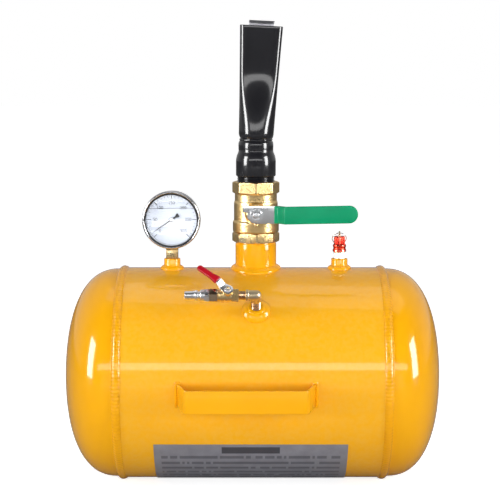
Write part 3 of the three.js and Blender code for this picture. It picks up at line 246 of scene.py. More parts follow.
def beadForm(name, points, thickness, closed=False):
    # a round bead laid along points
    piece = drawLine(name, points, closed)
    bpy.ops.object.mode_set(mode="OBJECT")
    only(piece)
    bpy.ops.object.convert(target="CURVE")
    piece.data.bevel_depth = thickness * mm
    piece.data.bevel_resolution = 5
    piece.data.use_fill_caps = True
    bpy.ops.object.convert(target="MESH")
    return cleaned(piece)


def ontoTank(piece, line, axis):
    # lets a ring that stands on the shell follow its curve
    tangent = right.cross(axis)
    applied(piece)
    shellRadius = tank["radius"] * mm
    for vertex in piece.data.vertices:
        reach = (vertex.co - line).dot(tangent)
        vertex.co -= axis * (shellRadius - math.sqrt(shellRadius ** 2 - reach ** 2))
    return piece


def copied(piece, name):
    only(piece)
    bpy.ops.object.duplicate()
    return startPiece(name)


def movedBy(piece, shift):
    only(piece)
    editAll()
    bpy.ops.transform.translate(value=shift)
    bpy.ops.object.mode_set(mode="OBJECT")
    return piece


def mirrored(piece, name, centre):
    twin = copied(piece, name)
    editAll()
    bpy.ops.transform.resize(value=(-1, 1, 1), center_override=centre)
    bpy.ops.mesh.normals_make_consistent(inside=False)
    bpy.ops.object.mode_set(mode="OBJECT")
    return twin


def finished(piece, body, material, replaced=(), angle=32):
    applied(piece)
    bpy.ops.object.shade_smooth_by_angle(angle=math.radians(angle))
    piece.data.materials.clear()
    piece.data.materials.append(material)
    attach(piece, body)
    if replaced:
        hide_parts(*replaced)
    return piece


# ---- shared effects, each built once as a node group


def newGroup(name, inputs, outputs):
    group = bpy.data.node_groups.new(name, "ShaderNodeTree")
    for label, kind, default in inputs:
        socket = group.interface.new_socket(name=label, in_out="INPUT", socket_type=kind)
        if default is not None:
            socket.default_value = default
    for label, kind in outputs:
        group.interface.new_socket(name=label, in_out="OUTPUT", socket_type=kind)
    return group, group.nodes.new("NodeGroupInput"), group.nodes.new("NodeGroupOutput")


def setInput(tree, socket, value):
    # value: a constant, or another node's output
    if isinstance(value, bpy.types.NodeSocket):
        tree.links.new(value, socket)
    else:
        socket.default_value = value


def addNode(tree, kind, inputs=None, **settings):
    node = tree.nodes.new(kind)
    for key, value in settings.items():
        setattr(node, key, value)
    for key, value in (inputs or {}).items():
        setInput(tree, node.inputs[key], value)
    return node


def calc(tree, operation, a, b=0.0, c=None):
    values = {0: a, 1: b}
    if c is not None:
        values[2] = c
    return addNode(tree, "ShaderNodeMath", values, operation=operation).outputs[0]


def spread(tree, value, low, high, outLow, outHigh):
    return addNode(tree, "ShaderNodeMapRange", {"Value": value, "From Min": low, "From Max": high,
                   "To Min": outLow, "To Max": outHigh}).outputs["Result"]


def blendColours(tree, share, one, other):
    # a Mix node's colour sockets come after its number and vector ones
    return addNode(tree, "ShaderNodeMix", {0: share, 6: one, 7: other}, data_type="RGBA").outputs[2]


def noiseOf(tree, vector, scale, detail=3.0, rough=0.5):
    return addNode(tree, "ShaderNodeTexNoise", {"Vector": vector, "Scale": scale, "Detail": detail,
                   "Roughness": rough}).outputs["Fac"]


def buildOrangePeel():
    # the soft waviness of sprayed or powder paint
    group, inside, out = newGroup("orangePeel", [("Vector", "NodeSocketVector", None),
        ("Size", "NodeSocketFloat", 260.0), ("Depth", "NodeSocketFloat", 1.0)],
        [("Height", "NodeSocketFloat"), ("Roughness", "NodeSocketFloat")])
    vector = inside.outputs["Vector"]
    fine = noiseOf(group, vector, inside.outputs["Size"], 2.0)
    broad = noiseOf(group, vector, calc(group, "MULTIPLY", inside.outputs["Size"], 0.16), 1.0)
    height = calc(group, "ADD", fine, calc(group, "MULTIPLY", broad, 0.8))
    group.links.new(calc(group, "MULTIPLY", height, inside.outputs["Depth"]), out.inputs["Height"])
    smear = noiseOf(group, vector, 14.0, 4.0)
    group.links.new(spread(group, smear, 0.3, 0.7, 0.0, 1.0), out.inputs["Roughness"])
    return group


def buildMetalGrain():
    # cast or blasted skin: pits, blotches and a fine tooth
    group, inside, out = newGroup("metalGrain", [("Vector", "NodeSocketVector", None),
        ("Size", "NodeSocketFloat", 900.0), ("Depth", "NodeSocketFloat", 1.0)],
        [("Height", "NodeSocketFloat"), ("Tint", "NodeSocketFloat"), ("Roughness", "NodeSocketFloat")])
    vector = inside.outputs["Vector"]
    tooth = noiseOf(group, vector, inside.outputs["Size"], 4.0, 0.6)
    pits = addNode(group, "ShaderNodeTexVoronoi", {"Vector": vector,
                   "Scale": calc(group, "MULTIPLY", inside.outputs["Size"], 0.6)}).outputs["Distance"]
    height = calc(group, "ADD", tooth, calc(group, "MULTIPLY", pits, 0.5))
    group.links.new(calc(group, "MULTIPLY", height, inside.outputs["Depth"]), out.inputs["Height"])
    blotch = noiseOf(group, vector, 60.0, 5.0, 0.6)
    group.links.new(spread(group, blotch, 0.3, 0.7, 0.0, 1.0), out.inputs["Tint"])
    group.links.new(spread(group, tooth, 0.3, 0.7, 0.0, 1.0), out.inputs["Roughness"])
    return group


def buildBrushMarks():
    # fine parallel scratches across the given direction
    group, inside, out = newGroup("brushMarks", [("Vector", "NodeSocketVector", None),
        ("Stretch", "NodeSocketVector", (40.0, 40.0, 2200.0)), ("Depth", "NodeSocketFloat", 1.0)],
        [("Height", "NodeSocketFloat"), ("Mask", "NodeSocketFloat")])
    stretched = addNode(group, "ShaderNodeVectorMath", {0: inside.outputs["Vector"],
                        1: inside.outputs["Stretch"]}, operation="MULTIPLY").outputs[0]
    lines = noiseOf(group, stretched, 1.0, 3.0, 0.6)
    group.links.new(calc(group, "MULTIPLY", lines, inside.outputs["Depth"]), out.inputs["Height"])
    group.links.new(spread(group, lines, 0.3, 0.7, 0.0, 1.0), out.inputs["Mask"])
    return group


def buildEdgeWear():
    # bright where an edge is proud, broken up by noise
    group, inside, out = newGroup("edgeWear", [("Vector", "NodeSocketVector", None),
        ("Low", "NodeSocketFloat", 0.52), ("High", "NodeSocketFloat", 0.6)], [("Mask", "NodeSocketFloat")])
    pointy = addNode(group, "ShaderNodeNewGeometry").outputs["Pointiness"]
    breakUp = spread(group, noiseOf(group, inside.outputs["Vector"], 180.0, 4.0), 0.35, 0.65, -0.03, 0.03)
    edge = calc(group, "ADD", pointy, breakUp)
    ranged = addNode(group, "ShaderNodeMapRange", {"Value": edge, "From Min": inside.outputs["Low"],
                     "From Max": inside.outputs["High"]}).outputs["Result"]
    group.links.new(ranged, out.inputs["Mask"])
    return group


def buildDust():
    # light dust and smears, thicker on what faces up
    group, inside, out = newGroup("dust", [("Vector", "NodeSocketVector", None),
        ("Amount", "NodeSocketFloat", 0.1)], [("Mask", "NodeSocketFloat")])
    normal = addNode(group, "ShaderNodeNewGeometry").outputs["Normal"]
    facing = addNode(group, "ShaderNodeSeparateXYZ", {0: normal}).outputs["Z"]
    upper = spread(group, facing, -0.2, 1.0, 0.15, 1.0)
    cloud = spread(group, noiseOf(group, inside.outputs["Vector"], 30.0, 6.0, 0.65), 0.35, 0.75, 0.0, 1.0)
    both = calc(group, "MULTIPLY", upper, cloud)
    group.links.new(calc(group, "MULTIPLY", both, inside.outputs["Amount"]), out.inputs["Mask"])
    return group


orangePeel = buildOrangePeel()
metalGrain = buildMetalGrain()
brushMarks = buildBrushMarks()
edgeWear = buildEdgeWear()
dust = buildDust()


def effect(tree, group, inputs):
    return addNode(tree, "ShaderNodeGroup", inputs, node_tree=group).outputs


def newMaterial(name, **constants):
    material = bpy.data.materials.new(name)
    material.use_nodes = True
    tree = material.node_tree
    shader = tree.nodes["Principled BSDF"]
    for key, value in constants.items():
        shader.inputs[key.replace("_", " ")].default_value = value
    place = tree.nodes.new("ShaderNodeTexCoord").outputs["Object"]
    return material, tree, shader, place


def bumped(tree, shader, height, distance):
    bump = addNode(tree, "ShaderNodeBump", {"Height": height, "Strength": 1.0, "Distance": distance})
    tree.links.new(bump.outputs["Normal"], shader.inputs["Normal"])


def feed(tree, shader, **values):
    for key, value in values.items():
        tree.links.new(value, shader.inputs[key.replace("_", " ")])


def colour(red, green, blue):
    return (red, green, blue, 1.0)


def grey(level):
    return colour(level, level, level)


def paint(name, main, deep, worn, roughness, peelDepth, ripple=0.0, dustAmount=0.004, coat=0.6, haze=0.03):
    material, tree, shader, place = newMaterial(name, Coat_Weight=coat, Coat_Roughness=haze,
                                                Specular_IOR_Level=0.15)
    peel = effect(tree, orangePeel, {"Vector": place, "Size": 220.0, "Depth": 1.0})
    cloud = spread(tree, noiseOf(tree, place, 9.0, 2.0), 0.35, 0.65, 0.0, 1.0)
    body = blendColours(tree, cloud, main, deep)
    wear = effect(tree, edgeWear, {"Vector": place, "Low": 0.56, "High": 0.7})["Mask"]
    chipped = blendColours(tree, calc(tree, "MULTIPLY", wear, 0.35), body, worn)
    settled = effect(tree, dust, {"Vector": place, "Amount": dustAmount})["Mask"]
    dusty = blendColours(tree, settled, chipped, colour(0.8, 0.74, 0.62))
    rough = calc(tree, "ADD", spread(tree, peel["Roughness"], 0, 1, roughness, roughness + 0.05), settled)
    feed(tree, shader, Base_Color=dusty, Roughness=rough)
    height = peel["Height"]
    if ripple:
        # the overlapping scallops that a weld leaves, counted round the tank's axis
        centred = addNode(tree, "ShaderNodeMapping", {"Vector": place, "Location": -tankAxis}).outputs[0]
        parts = addNode(tree, "ShaderNodeSeparateXYZ", {0: centred}).outputs
        turn = calc(tree, "ARCTAN2", parts["Z"], parts["Y"])
        bow = calc(tree, "MULTIPLY", calc(tree, "POWER", calc(tree, "MULTIPLY",
                   calc(tree, "SUBTRACT", calc(tree, "ABSOLUTE", parts["X"]), tank["seam"] * mm), 200.0),
                   2.0), 0.6)
        wave = calc(tree, "SINE", calc(tree, "ADD", calc(tree, "MULTIPLY", turn, 190.0), bow))
        height = calc(tree, "ADD", height, calc(tree, "MULTIPLY", wave, ripple))
    bumped(tree, shader, height, peelDepth)
    return material


def castMetal(name, main, dark, worn, roughness, grainSize, depth, tarnish=0.5):
    material, tree, shader, place = newMaterial(name, Metallic=1.0)
    grain = effect(tree, metalGrain, {"Vector": place, "Size": grainSize, "Depth": 1.0})
    body = blendColours(tree, calc(tree, "MULTIPLY", grain["Tint"], tarnish), main, dark)
    wear = effect(tree, edgeWear, {"Vector": place, "Low": 0.52, "High": 0.62})["Mask"]
    feed(tree, shader, Base_Color=blendColours(tree, calc(tree, "MULTIPLY", wear, 0.7), body, worn),
         Roughness=calc(tree, "SUBTRACT", spread(tree, grain["Roughness"], 0, 1, roughness, roughness + 0.14),
                        calc(tree, "MULTIPLY", wear, 0.1)))
    bumped(tree, shader, grain["Height"], depth)
    return material


def smoothMetal(name, main, dark, roughness, stretch, depth):
    material, tree, shader, place = newMaterial(name, Metallic=1.0)
    marks = effect(tree, brushMarks, {"Vector": place, "Stretch": stretch, "Depth": 1.0})
    smear = spread(tree, noiseOf(tree, place, 40.0, 4.0), 0.35, 0.65, 0.0, 1.0)
    wear = effect(tree, edgeWear, {"Vector": place, "Low": 0.5, "High": 0.6})["Mask"]
    tone = calc(tree, "ADD", calc(tree, "MULTIPLY", marks["Mask"], 0.25), calc(tree, "MULTIPLY", smear, 0.3))
    body = blendColours(tree, tone, main, dark)
    feed(tree, shader, Base_Color=blendColours(tree, calc(tree, "MULTIPLY", wear, 0.4), body, main),
         Roughness=spread(tree, smear, 0, 1, roughness, roughness + 0.1))
    bumped(tree, shader, marks["Height"], depth)
    return material


def vinyl(name, main, deep, roughness):
    # dipped soft vinyl: glossy, slightly lumpy, with scuffs
    material, tree, shader, place = newMaterial(name, Coat_Weight=0.12, Coat_Roughness=0.12,
                                                Specular_IOR_Level=0.15)
    peel = effect(tree, orangePeel, {"Vector": place, "Size": 150.0, "Depth": 1.0})
    scuff = effect(tree, brushMarks, {"Vector": place, "Stretch": (900.0, 300.0, 120.0),
                                      "Depth": 1.0})["Mask"]
    cloud = spread(tree, noiseOf(tree, place, 25.0, 3.0), 0.35, 0.65, 0.0, 1.0)
    feed(tree, shader, Base_Color=blendColours(tree, cloud, main, deep),
         Roughness=calc(tree, "ADD", spread(tree, peel["Roughness"], 0, 1, roughness, roughness + 0.1),
                        calc(tree, "MULTIPLY", scuff, 0.06)))
    bumped(tree, shader, peel["Height"], 0.00012)
    return material


def plainTone(name, main, other, roughness, grainSize=700.0, depth=0.00003, **constants):
    material, tree, shader, place = newMaterial(name, **constants)
    grain = effect(tree, metalGrain, {"Vector": place, "Size": grainSize, "Depth": 1.0})
    feed(tree, shader, Base_Color=blendColours(tree, grain["Tint"], main, other),
         Roughness=spread(tree, grain["Roughness"], 0, 1, roughness, roughness + 0.12))
    bumped(tree, shader, grain["Height"], depth)
    return material


def foilMaterial():
    # a metallised label with plain printed bars
    material, tree, shader, place = newMaterial("greyFoil", Metallic=0.35)
    centred = addNode(tree, "ShaderNodeMapping", {"Vector": place, "Location": -tankAxis}).outputs[0]
    parts = addNode(tree, "ShaderNodeSeparateXYZ", {0: centred}).outputs
    turn = calc(tree, "DIVIDE", calc(tree, "ARCTAN2", calc(tree, "MULTIPLY", parts["Z"], -1.0),
                calc(tree, "MULTIPLY", parts["Y"], -1.0)), math.radians(1))
    x = calc(tree, "DIVIDE", calc(tree, "SUBTRACT", parts["X"], label["aside"] * mm), mm)
    # rows of bars, broken at uneven places, under one short heavy bar
    row = calc(tree, "DIVIDE", calc(tree, "SUBTRACT", turn, label["rowStart"]), label["rowPitch"])
    inRow = calc(tree, "LESS_THAN", calc(tree, "FRACT", row), 0.45)
    cell = addNode(tree, "ShaderNodeCombineXYZ", {0: calc(tree, "FLOOR", calc(tree, "DIVIDE", x, 2.7)),
                   1: calc(tree, "FLOOR", row)}).outputs[0]
    gaps = addNode(tree, "ShaderNodeTexWhiteNoise", {"Vector": cell}, noise_dimensions="2D").outputs["Value"]
    solid = calc(tree, "LESS_THAN", gaps, 0.84)
    within = calc(tree, "MULTIPLY", calc(tree, "LESS_THAN", calc(tree, "ABSOLUTE", x), label["rowHalf"]),
                  calc(tree, "GREATER_THAN", row, 0.0))
    rowsMask = calc(tree, "MULTIPLY", calc(tree, "MULTIPLY", inRow, solid),
                    calc(tree, "MULTIPLY", within, 0.6))
    inHead = calc(tree, "LESS_THAN", calc(tree, "ABSOLUTE", calc(tree, "SUBTRACT", turn, label["headTurn"])),
                  2.4)
    head = calc(tree, "MULTIPLY", inHead, calc(tree, "LESS_THAN", calc(tree, "ABSOLUTE", x),
                                               label["headHalf"]))
    printed = calc(tree, "MAXIMUM", rowsMask, head)
    grain = effect(tree, metalGrain, {"Vector": place, "Size": 500.0, "Depth": 1.0})
    foil = blendColours(tree, grain["Tint"], colour(0.29, 0.29, 0.33), colour(0.36, 0.36, 0.41))
    feed(tree, shader, Base_Color=blendColours(tree, calc(tree, "MULTIPLY", printed, 0.85), foil,
                                               colour(0.05, 0.05, 0.06)),
         Roughness=spread(tree, grain["Roughness"], 0, 1, 0.32, 0.42))
    bumped(tree, shader, grain["Height"], 0.00004)
    return material


def glassMaterial():
    material, tree, shader, place = newMaterial("clearGlass", Transmission_Weight=1.0, IOR=1.47,
                                                Specular_IOR_Level=0.25)
    smear = spread(tree, noiseOf(tree, place, 60.0, 4.0), 0.4, 0.7, 0.01, 0.04)
    feed(tree, shader, Roughness=smear)
    clear = tree.nodes.new("ShaderNodeBsdfTransparent")
    shadow = tree.nodes.new("ShaderNodeLightPath").outputs["Is Shadow Ray"]
    mix = tree.nodes.new("ShaderNodeMixShader")
    tree.links.new(shadow, mix.inputs[0])
    tree.links.new(shader.outputs[0], mix.inputs[1])
    tree.links.new(clear.outputs[0], mix.inputs[2])
    tree.links.new(mix.outputs[0], tree.nodes["Material Output"].inputs["Surface"])
    return material


# ---- tank

tank = {
    "radius": 125.0,
    "wall": 3.0,
    "seam": 153.0,  # middle to each head's seam
    "headRadius": 123.6,
    "headCrown": 62.3,
    "headFullness": 2.4,  # 2 is an ellipse, more is squarer at the knuckle
    "headFlange": 5.0,
    "steps": 144,
}
label = {"aside": -2.0, "width": 220.0, "start": 29.0, "end": 84.0, "thickness": 0.35,
         "headTurn": 33.2, "headHalf": 33.0, "rowStart": 37.6, "rowPitch": 5.3, "rowHalf": 102.0}

yellowPaint = paint("yellowPaint", colour(0.97, 0.455, 0.004), colour(0.95, 0.43, 0.003),
                    colour(0.97, 0.6, 0.12), 0.16, 0.00005)
yellowWeld = paint("yellowWeld", colour(0.95, 0.44, 0.004), colour(0.9, 0.39, 0.003),
                   colour(0.97, 0.6, 0.12), 0.18, 0.0002, ripple=0.9)
blackPaint = paint("blackPaint", colour(0.006, 0.006, 0.008), colour(0.01, 0.01, 0.013),
                   colour(0.12, 0.12, 0.13), 0.3, 0.00012, dustAmount=0.002, coat=1.0, haze=0.1)
castBrass = castMetal("castBrass", colour(0.86, 0.63, 0.3), colour(0.72, 0.47, 0.18),
                      colour(0.97, 0.82, 0.52), 0.24, 850.0, 0.00012)
darkBrass = castMetal("darkBrass", colour(0.5, 0.32, 0.2), colour(0.33, 0.19, 0.11),
                      colour(0.8, 0.62, 0.42), 0.22, 600.0, 0.00006)
paleBrass = castMetal("paleBrass", colour(0.66, 0.54, 0.36), colour(0.5, 0.38, 0.22),
                      colour(0.85, 0.76, 0.58), 0.34, 600.0, 0.00005, tarnish=0.4)
platedSteel = smoothMetal("platedSteel", colour(0.86, 0.87, 0.89), colour(0.7, 0.71, 0.74), 0.24,
                          (900.0, 900.0, 60.0), 0.00001)
stainless = smoothMetal("stainless", colour(0.72, 0.72, 0.74), colour(0.5, 0.5, 0.52), 0.12,
                        (300.0, 1500.0, 300.0), 0.000012)
bareSteel = smoothMetal("bareSteel", colour(0.6, 0.6, 0.63), colour(0.25, 0.25, 0.27), 0.34,
                        (20.0, 20.0, 1100.0), 0.0002)
greenVinyl = vinyl("greenVinyl", colour(0.0, 0.33, 0.145), colour(0.0, 0.29, 0.125), 0.3)
redVinyl = vinyl("redVinyl", colour(0.52, 0.006, 0.018), colour(0.42, 0.004, 0.014), 0.24)
redAnodised = castMetal("redAnodised", colour(0.85, 0.07, 0.04), colour(0.7, 0.04, 0.03),
                        colour(0.95, 0.4, 0.3), 0.2, 900.0, 0.00003)
whitePolymer = plainTone("whitePolymer", colour(0.85, 0.85, 0.82), colour(0.78, 0.78, 0.74), 0.4)
blackRubber = plainTone("blackRubber", colour(0.012, 0.012, 0.013), colour(0.025, 0.025, 0.026), 0.55,
                        depth=0.0001)
dialPlate = plainTone("dialPlate", colour(0.8, 0.86, 0.97), colour(0.76, 0.82, 0.94), 0.34, 1400.0, 0.00001)
dialInk = plainTone("dialInk", colour(0.02, 0.022, 0.03), colour(0.035, 0.037, 0.045), 0.4)
needleBlack = plainTone("needleBlack", colour(0.008, 0.008, 0.01), colour(0.02, 0.02, 0.022), 0.3)
greyFoil = foilMaterial()
clearGlass = glassMaterial()
print("materials made")


def domePoints(radius, foot, crown, steps):
    power = 2 / tank["headFullness"]
    turns = [math.pi / 2 * (step / steps) ** 1.15 for step in range(steps)]
    rounded = [(radius * math.cos(turn) ** power, foot + crown * math.sin(turn) ** power) for turn in turns]
    return rounded + [(0, foot + crown)]


wall = tank["wall"]
shellOutline = [(tank["radius"] - wall, -tank["seam"]), (tank["radius"], -tank["seam"]),
                (tank["radius"], tank["seam"]), (tank["radius"] - wall, tank["seam"])]
shell = turnedForm("tankShell", shellOutline, tankAxis, right, tank["steps"])
finished(shell, "tank", yellowPaint, ["tank_shell"])

domeFoot = tank["seam"] + tank["headFlange"]
outerDome = domePoints(tank["headRadius"], domeFoot, tank["headCrown"], 30)
innerDome = domePoints(tank["headRadius"] - wall, domeFoot, tank["headCrown"] - wall, 20)
headOutline = outerDome[::-1] + [(tank["headRadius"], tank["seam"] + 0.3),
                                 (tank["headRadius"] - wall, tank["seam"] + 0.3)] + innerDome
headRight = turnedForm("headRight", headOutline, tankAxis, right, tank["steps"])
headLeft = mirrored(headRight, "headLeft", tankAxis)
finished(headRight, "tank", yellowPaint, ["tank_head_right"])
finished(headLeft, "tank", yellowPaint, ["tank_head_left"])

seam = tank["seam"]
bandOutline = [(125.1, seam - 5), (126.0, seam - 4.4), (126.8, seam - 2.8), (127.2, seam - 0.8),
               (127.1, seam + 0.9), (126.4, seam + 2.6), (125.0, seam + 4.2), (123.8, seam + 5),
               (123.7, seam + 0.2), (125.1, seam)]
bandRight = turnedForm("bandRight", bandOutline, tankAxis, right, tank["steps"])
bandLeft = mirrored(bandRight, "bandLeft", tankAxis)
finished(bandRight, "tank", yellowWeld, ["weld_band_right"], angle=60)
finished(bandLeft, "tank", yellowWeld, ["weld_band_left"], angle=60)
print("tank made")


def weldRing(name, pipeRadius, leg, line, axis):
    top = tank["radius"]
    # a bead as wide as it is high: (share of its leg outwards, share upwards)
    bulge = [(1, 0.14), (0.97, 0.3), (0.84, 0.5), (0.6, 0.69), (0.32, 0.86), (0.1, 0.98)]
    outline = [(pipeRadius - 0.4, top - 2), (pipeRadius + leg - 0.3, top - 2),
               (pipeRadius + leg - 0.1, top + 0.1)]
    outline += [(pipeRadius + leg * out, top + leg * rise) for out, rise in bulge]
    outline += [(pipeRadius - 0.4, top + leg)]
    return ontoTank(turnedForm(name, outline, line, axis, 72), line, axis)


def bossForm(name, radius, bore, top, leg, line, axis):
    low = tank["radius"] - 5
    outline = [(bore, low), (radius, low), (radius, top - 0.9), (radius - 0.3, top - 0.3),
               (radius - 0.9, top), (bore + 0.7, top), (bore, top - 0.7)]
    boss = turnedForm(name, outline, line, axis, 56)
    return joined(boss, weldRing(name + "Weld", radius, leg, line, axis))


neck = {"radius": 24.15, "wall": 3.55, "low": 120.0, "shoulder": 155.8, "top": 166.7, "toe": 5.4}
neckBore = neck["radius"] - neck["wall"]
neckOutline = [(neckBore, neck["low"]), (neck["radius"], neck["low"]),
               (neck["radius"], neck["shoulder"] - 1.2),
               (neck["radius"] - 0.75, neck["shoulder"]), (neck["radius"] - 0.75, neck["top"]),
               (neckBore, neck["top"])]
outletNeck = softEdges(turnedForm("outletNeck", neckOutline, neckLine, up), 0.3)
finished(outletNeck, "tank", yellowPaint, ["outlet_neck"])
neckWeld = weldRing("neckWeld", neck["radius"], neck["toe"], neckLine, up)
finished(neckWeld, "tank", yellowPaint, ["neck_weld"], angle=60)

boss = {"radius": 9.7, "bore": 6.5, "top": 137.0, "toe": 4.2}
gaugeBoss = bossForm("gaugeBoss", boss["radius"], boss["bore"], boss["top"], boss["toe"], gaugeLine, up)
reliefBoss = copied(gaugeBoss, "reliefBoss")
movedBy(reliefBoss, reliefLine - gaugeLine)
fillBoss = bossForm("fillBoss", 10.0, 5.2, 133.0, 6.4, neckLine, fillOut)
finished(gaugeBoss, "tank", yellowPaint, ["gauge_bung"], angle=50)
finished(reliefBoss, "tank", yellowPaint, ["relief_bung"], angle=50)
finished(fillBoss, "tank", yellowPaint, ["fill_bung"], angle=50)

# ---- strap handle and its welds

handle = {
    "halfWidth": 67.0,  # middle of the strap, at its front corners
    "front": 163.4,  # tank's axis to the middle of the front strap
    "footSpread": 10.2,
    "foot": 122.6,
    "strap": 25.6,
    "thickness": 3.2,
    "bend": 4.6,
    "bead": 1.7,
}
handleMiddle = Vector((middle("front_handle").x, tankAxis.y, tankAxis.z))


def handlePoint(x, reach, z=0.0):
    return handleMiddle + Vector((x, -reach, z)) * mm


strapRoute = [handlePoint(-handle["halfWidth"] - handle["footSpread"], handle["foot"])]
legLean = math.atan(handle["footSpread"] / (handle["front"] - handle["foot"]))
bendCentreX = handle["halfWidth"] - handle["bend"] * math.tan((math.pi / 2 - legLean) / 2)
for side in (-1, 1):
    for step in range(9):
        turn = (math.pi / 2 - legLean) * (step if side > 0 else 8 - step) / 8
        strapRoute.append(handlePoint(side * (bendCentreX + handle["bend"] * math.sin(turn)),
                                      handle["front"] - handle["bend"] * (1 - math.cos(turn))))
strapRoute.append(handlePoint(handle["halfWidth"] + handle["footSpread"], handle["foot"]))
strap = drawLine("handle", strapRoute, False)
bpy.ops.mesh.select_all(action="SELECT")
bpy.ops.transform.translate(value=(0, 0, -handle["strap"] / 2 * mm))
bpy.ops.mesh.extrude_edges_move(TRANSFORM_OT_translate={"value": (0, 0, handle["strap"] * mm)})
bpy.ops.object.mode_set(mode="OBJECT")
thickened(strap, handle["thickness"])
softEdges(strap, 0.7, 3, 50)
finished(strap, "tank", yellowPaint, ["front_handle"])

for side in (-1, 1):
    footX = side * (handle["halfWidth"] + handle["footSpread"] - 0.5)
    reachX = handle["thickness"] / 2 + 0.5
    corners = [(-1, -1), (1, -1), (1, 1), (-1, 1), (-1, -1)]
    loop = []
    for (cornerX, cornerZ), (nextX, nextZ) in zip(corners, corners[1:]):
        for step in range(9):
            share = step / 9
            x = footX + reachX * (cornerX + (nextX - cornerX) * share)
            z = (handle["strap"] / 2 + 0.4) * (cornerZ + (nextZ - cornerZ) * share)
            loop.append(handlePoint(x, math.sqrt(tank["radius"] ** 2 - z ** 2) + 0.2, z))
    bead = beadForm("handleWeldRight" if side > 0 else "handleWeldLeft", loop, handle["bead"], closed=True)
    finished(bead, "tank", yellowPaint, angle=60)
print("handle made")

# ---- label

startTurn = math.radians(label["start"])
labelRadius = tank["radius"] + 0.3 + label["thickness"] / 2


def labelPlace(x, turn):
    return tankAxis + Vector((x * mm, -labelRadius * mm * math.cos(turn), -labelRadius * mm * math.sin(turn)))


half = label["width"] / 2
sheet = drawLine("labelSheet", [labelPlace(label["aside"] - half, startTurn),
                                labelPlace(label["aside"] + half, startTurn)], False)
bpy.ops.mesh.select_all(action="SELECT")
bpy.ops.mesh.spin(steps=44, angle=math.radians(label["end"] - label["start"]), center=tankAxis,
                  axis=(-1, 0, 0))
bpy.ops.mesh.select_all(action="SELECT")
bpy.ops.mesh.remove_doubles(threshold=weldDistance)
bpy.ops.object.mode_set(mode="OBJECT")
thickened(sheet, label["thickness"])
finished(sheet, "tank", greyFoil, ["tank_label"])
print("label made")

# ---- main valve

valve = {
    "corner": 27.9, "chamfer": 2.4, "half": 35.6, "capTop": -24.1,
    "topFoot": 21.8, "chamber": 25.8, "neck": 24.8, "grain": 0.5,
}
casting = turnedForm("casting", [(0, -23.8), (26.4, -23.8), (27.2, -23.0), (27.2, -12.0), (26.6, -11.0),
                     (valve["chamber"], -10.2), (valve["chamber"], 10.6), (valve["chamber"] - 0.3, 11.8),
                     (valve["neck"], 13.2),
                     (valve["neck"], valve["topFoot"] + 1), (0, valve["topFoot"] + 1)], valveCentre, up, 96)
topOctagon = nutForm("topOctagon", 8, valve["corner"], valve["topFoot"], valve["half"], valve["chamfer"],
                     valveCentre, up, front)
stemBoss = turnedForm("stemBoss", [(0, 18), (13.4, 18), (12.6, 25.4), (11.8, 27.2), (11.5, 29.0),
                                   (11.5, 32.2),
                      (10.9, 33), (0, 33)], valveCentre, front, 64)
bpy.ops.object.select_all(action="DESELECT")
bpy.ops.mesh.primitive_cube_add(size=1, location=valveCentre + Vector((0, -32.3, -12.25)) * mm,
                                scale=(4 * mm, 19 * mm, 3.5 * mm))
stopNub = softEdges(startPiece("stopNub"), 0.6, 2)
bodyForm = castForm("valveBody", [casting, topOctagon, stemBoss, stopNub], valve["grain"], 2)
mouth = turnedForm("mouth", [(0, 21), (22.2, 21), (22.2, 36.6), (0, 36.6)], valveCentre, up, 72)
combined(bodyForm, mouth, "DIFFERENCE")
finished(bodyForm, "tank", castBrass, ["valve_body"], angle=40)

endCap = nutForm("endCap", 8, valve["corner"], -valve["half"], valve["capTop"], valve["chamfer"],
                 valveCentre, up, front)
capBore = turnedForm("capBore", [(0, -36.6), (23.7, -36.6), (23.7, -25.6), (0, -25.6)], valveCentre, up)
combined(endCap, capBore, "DIFFERENCE")
softEdges(endCap, 0.35, 2, 20)
finished(endCap, "tank", castBrass, ["valve_end_cap"])

packing = nutForm("packingNut", 6, 10.97, 33.3, 38.5, 1.0, valveCentre, front, right)
softEdges(packing, 0.25, 2, 20)
finished(packing, "tank", castBrass, ["packing_nut"])

stemOutline = [(0, 20.9), (6.5, 20.9), (6.5, 23.1), (5, 23.1), (5, 39.0), (3.4, 39.0), (3.4, 43.0)]
stemOutline += threadOutline(3.8, 43.0, 49.6, 1.1, 0.45)[1:] + [(3.0, 50.4), (1.6, 50.75), (0, 50.8)]
mainStem = turnedForm("mainStem", stemOutline, valveCentre, front, 40)
finished(mainStem, "main_lever", platedSteel, ["valve_stem"], angle=50)

lever = {
    "plane": 39.3,  # valve's axis to the back of the plate
    "thickness": 2.5, "half": 10.2, "ear": 15.5, "arm": 8.3, "end": 113.8, "rise": 10.7,
    "bendStart": 26.0, "bendEnd": 34.0, "sleeveStart": 21.0, "sleeveEnd": 117.0, "sleeveWall": 1.6,
    "uphill": 1.7,
}


def roundTip(end, halfHeight, reachBack):
    # the rounded end of an arm, from its lower edge round to its upper one
    points = []
    for step in range(13):
        turn = math.radians(-90 + 15 * step)
        points.append((end - reachBack + reachBack * math.cos(turn), halfHeight * math.sin(turn)))
    return points


def bentForward(piece, place, way, start, end, rise, outward):
    # two folds that step the arm towards the hand
    for along in (start, end):
        bpy.ops.mesh.select_all(action="SELECT")
        bpy.ops.mesh.bisect(plane_co=place + way * along * mm, plane_no=way)
    bpy.ops.object.mode_set(mode="OBJECT")
    for vertex in piece.data.vertices:
        along = (piece.matrix_world @ vertex.co - place).dot(way) / mm
        vertex.select = along > end - 0.01
    for edge in piece.data.edges:
        edge.select = all(piece.data.vertices[index].select for index in edge.vertices)
    bpy.ops.object.mode_set(mode="EDIT")
    bpy.ops.transform.translate(value=outward * rise * mm)
    bpy.ops.object.mode_set(mode="OBJECT")




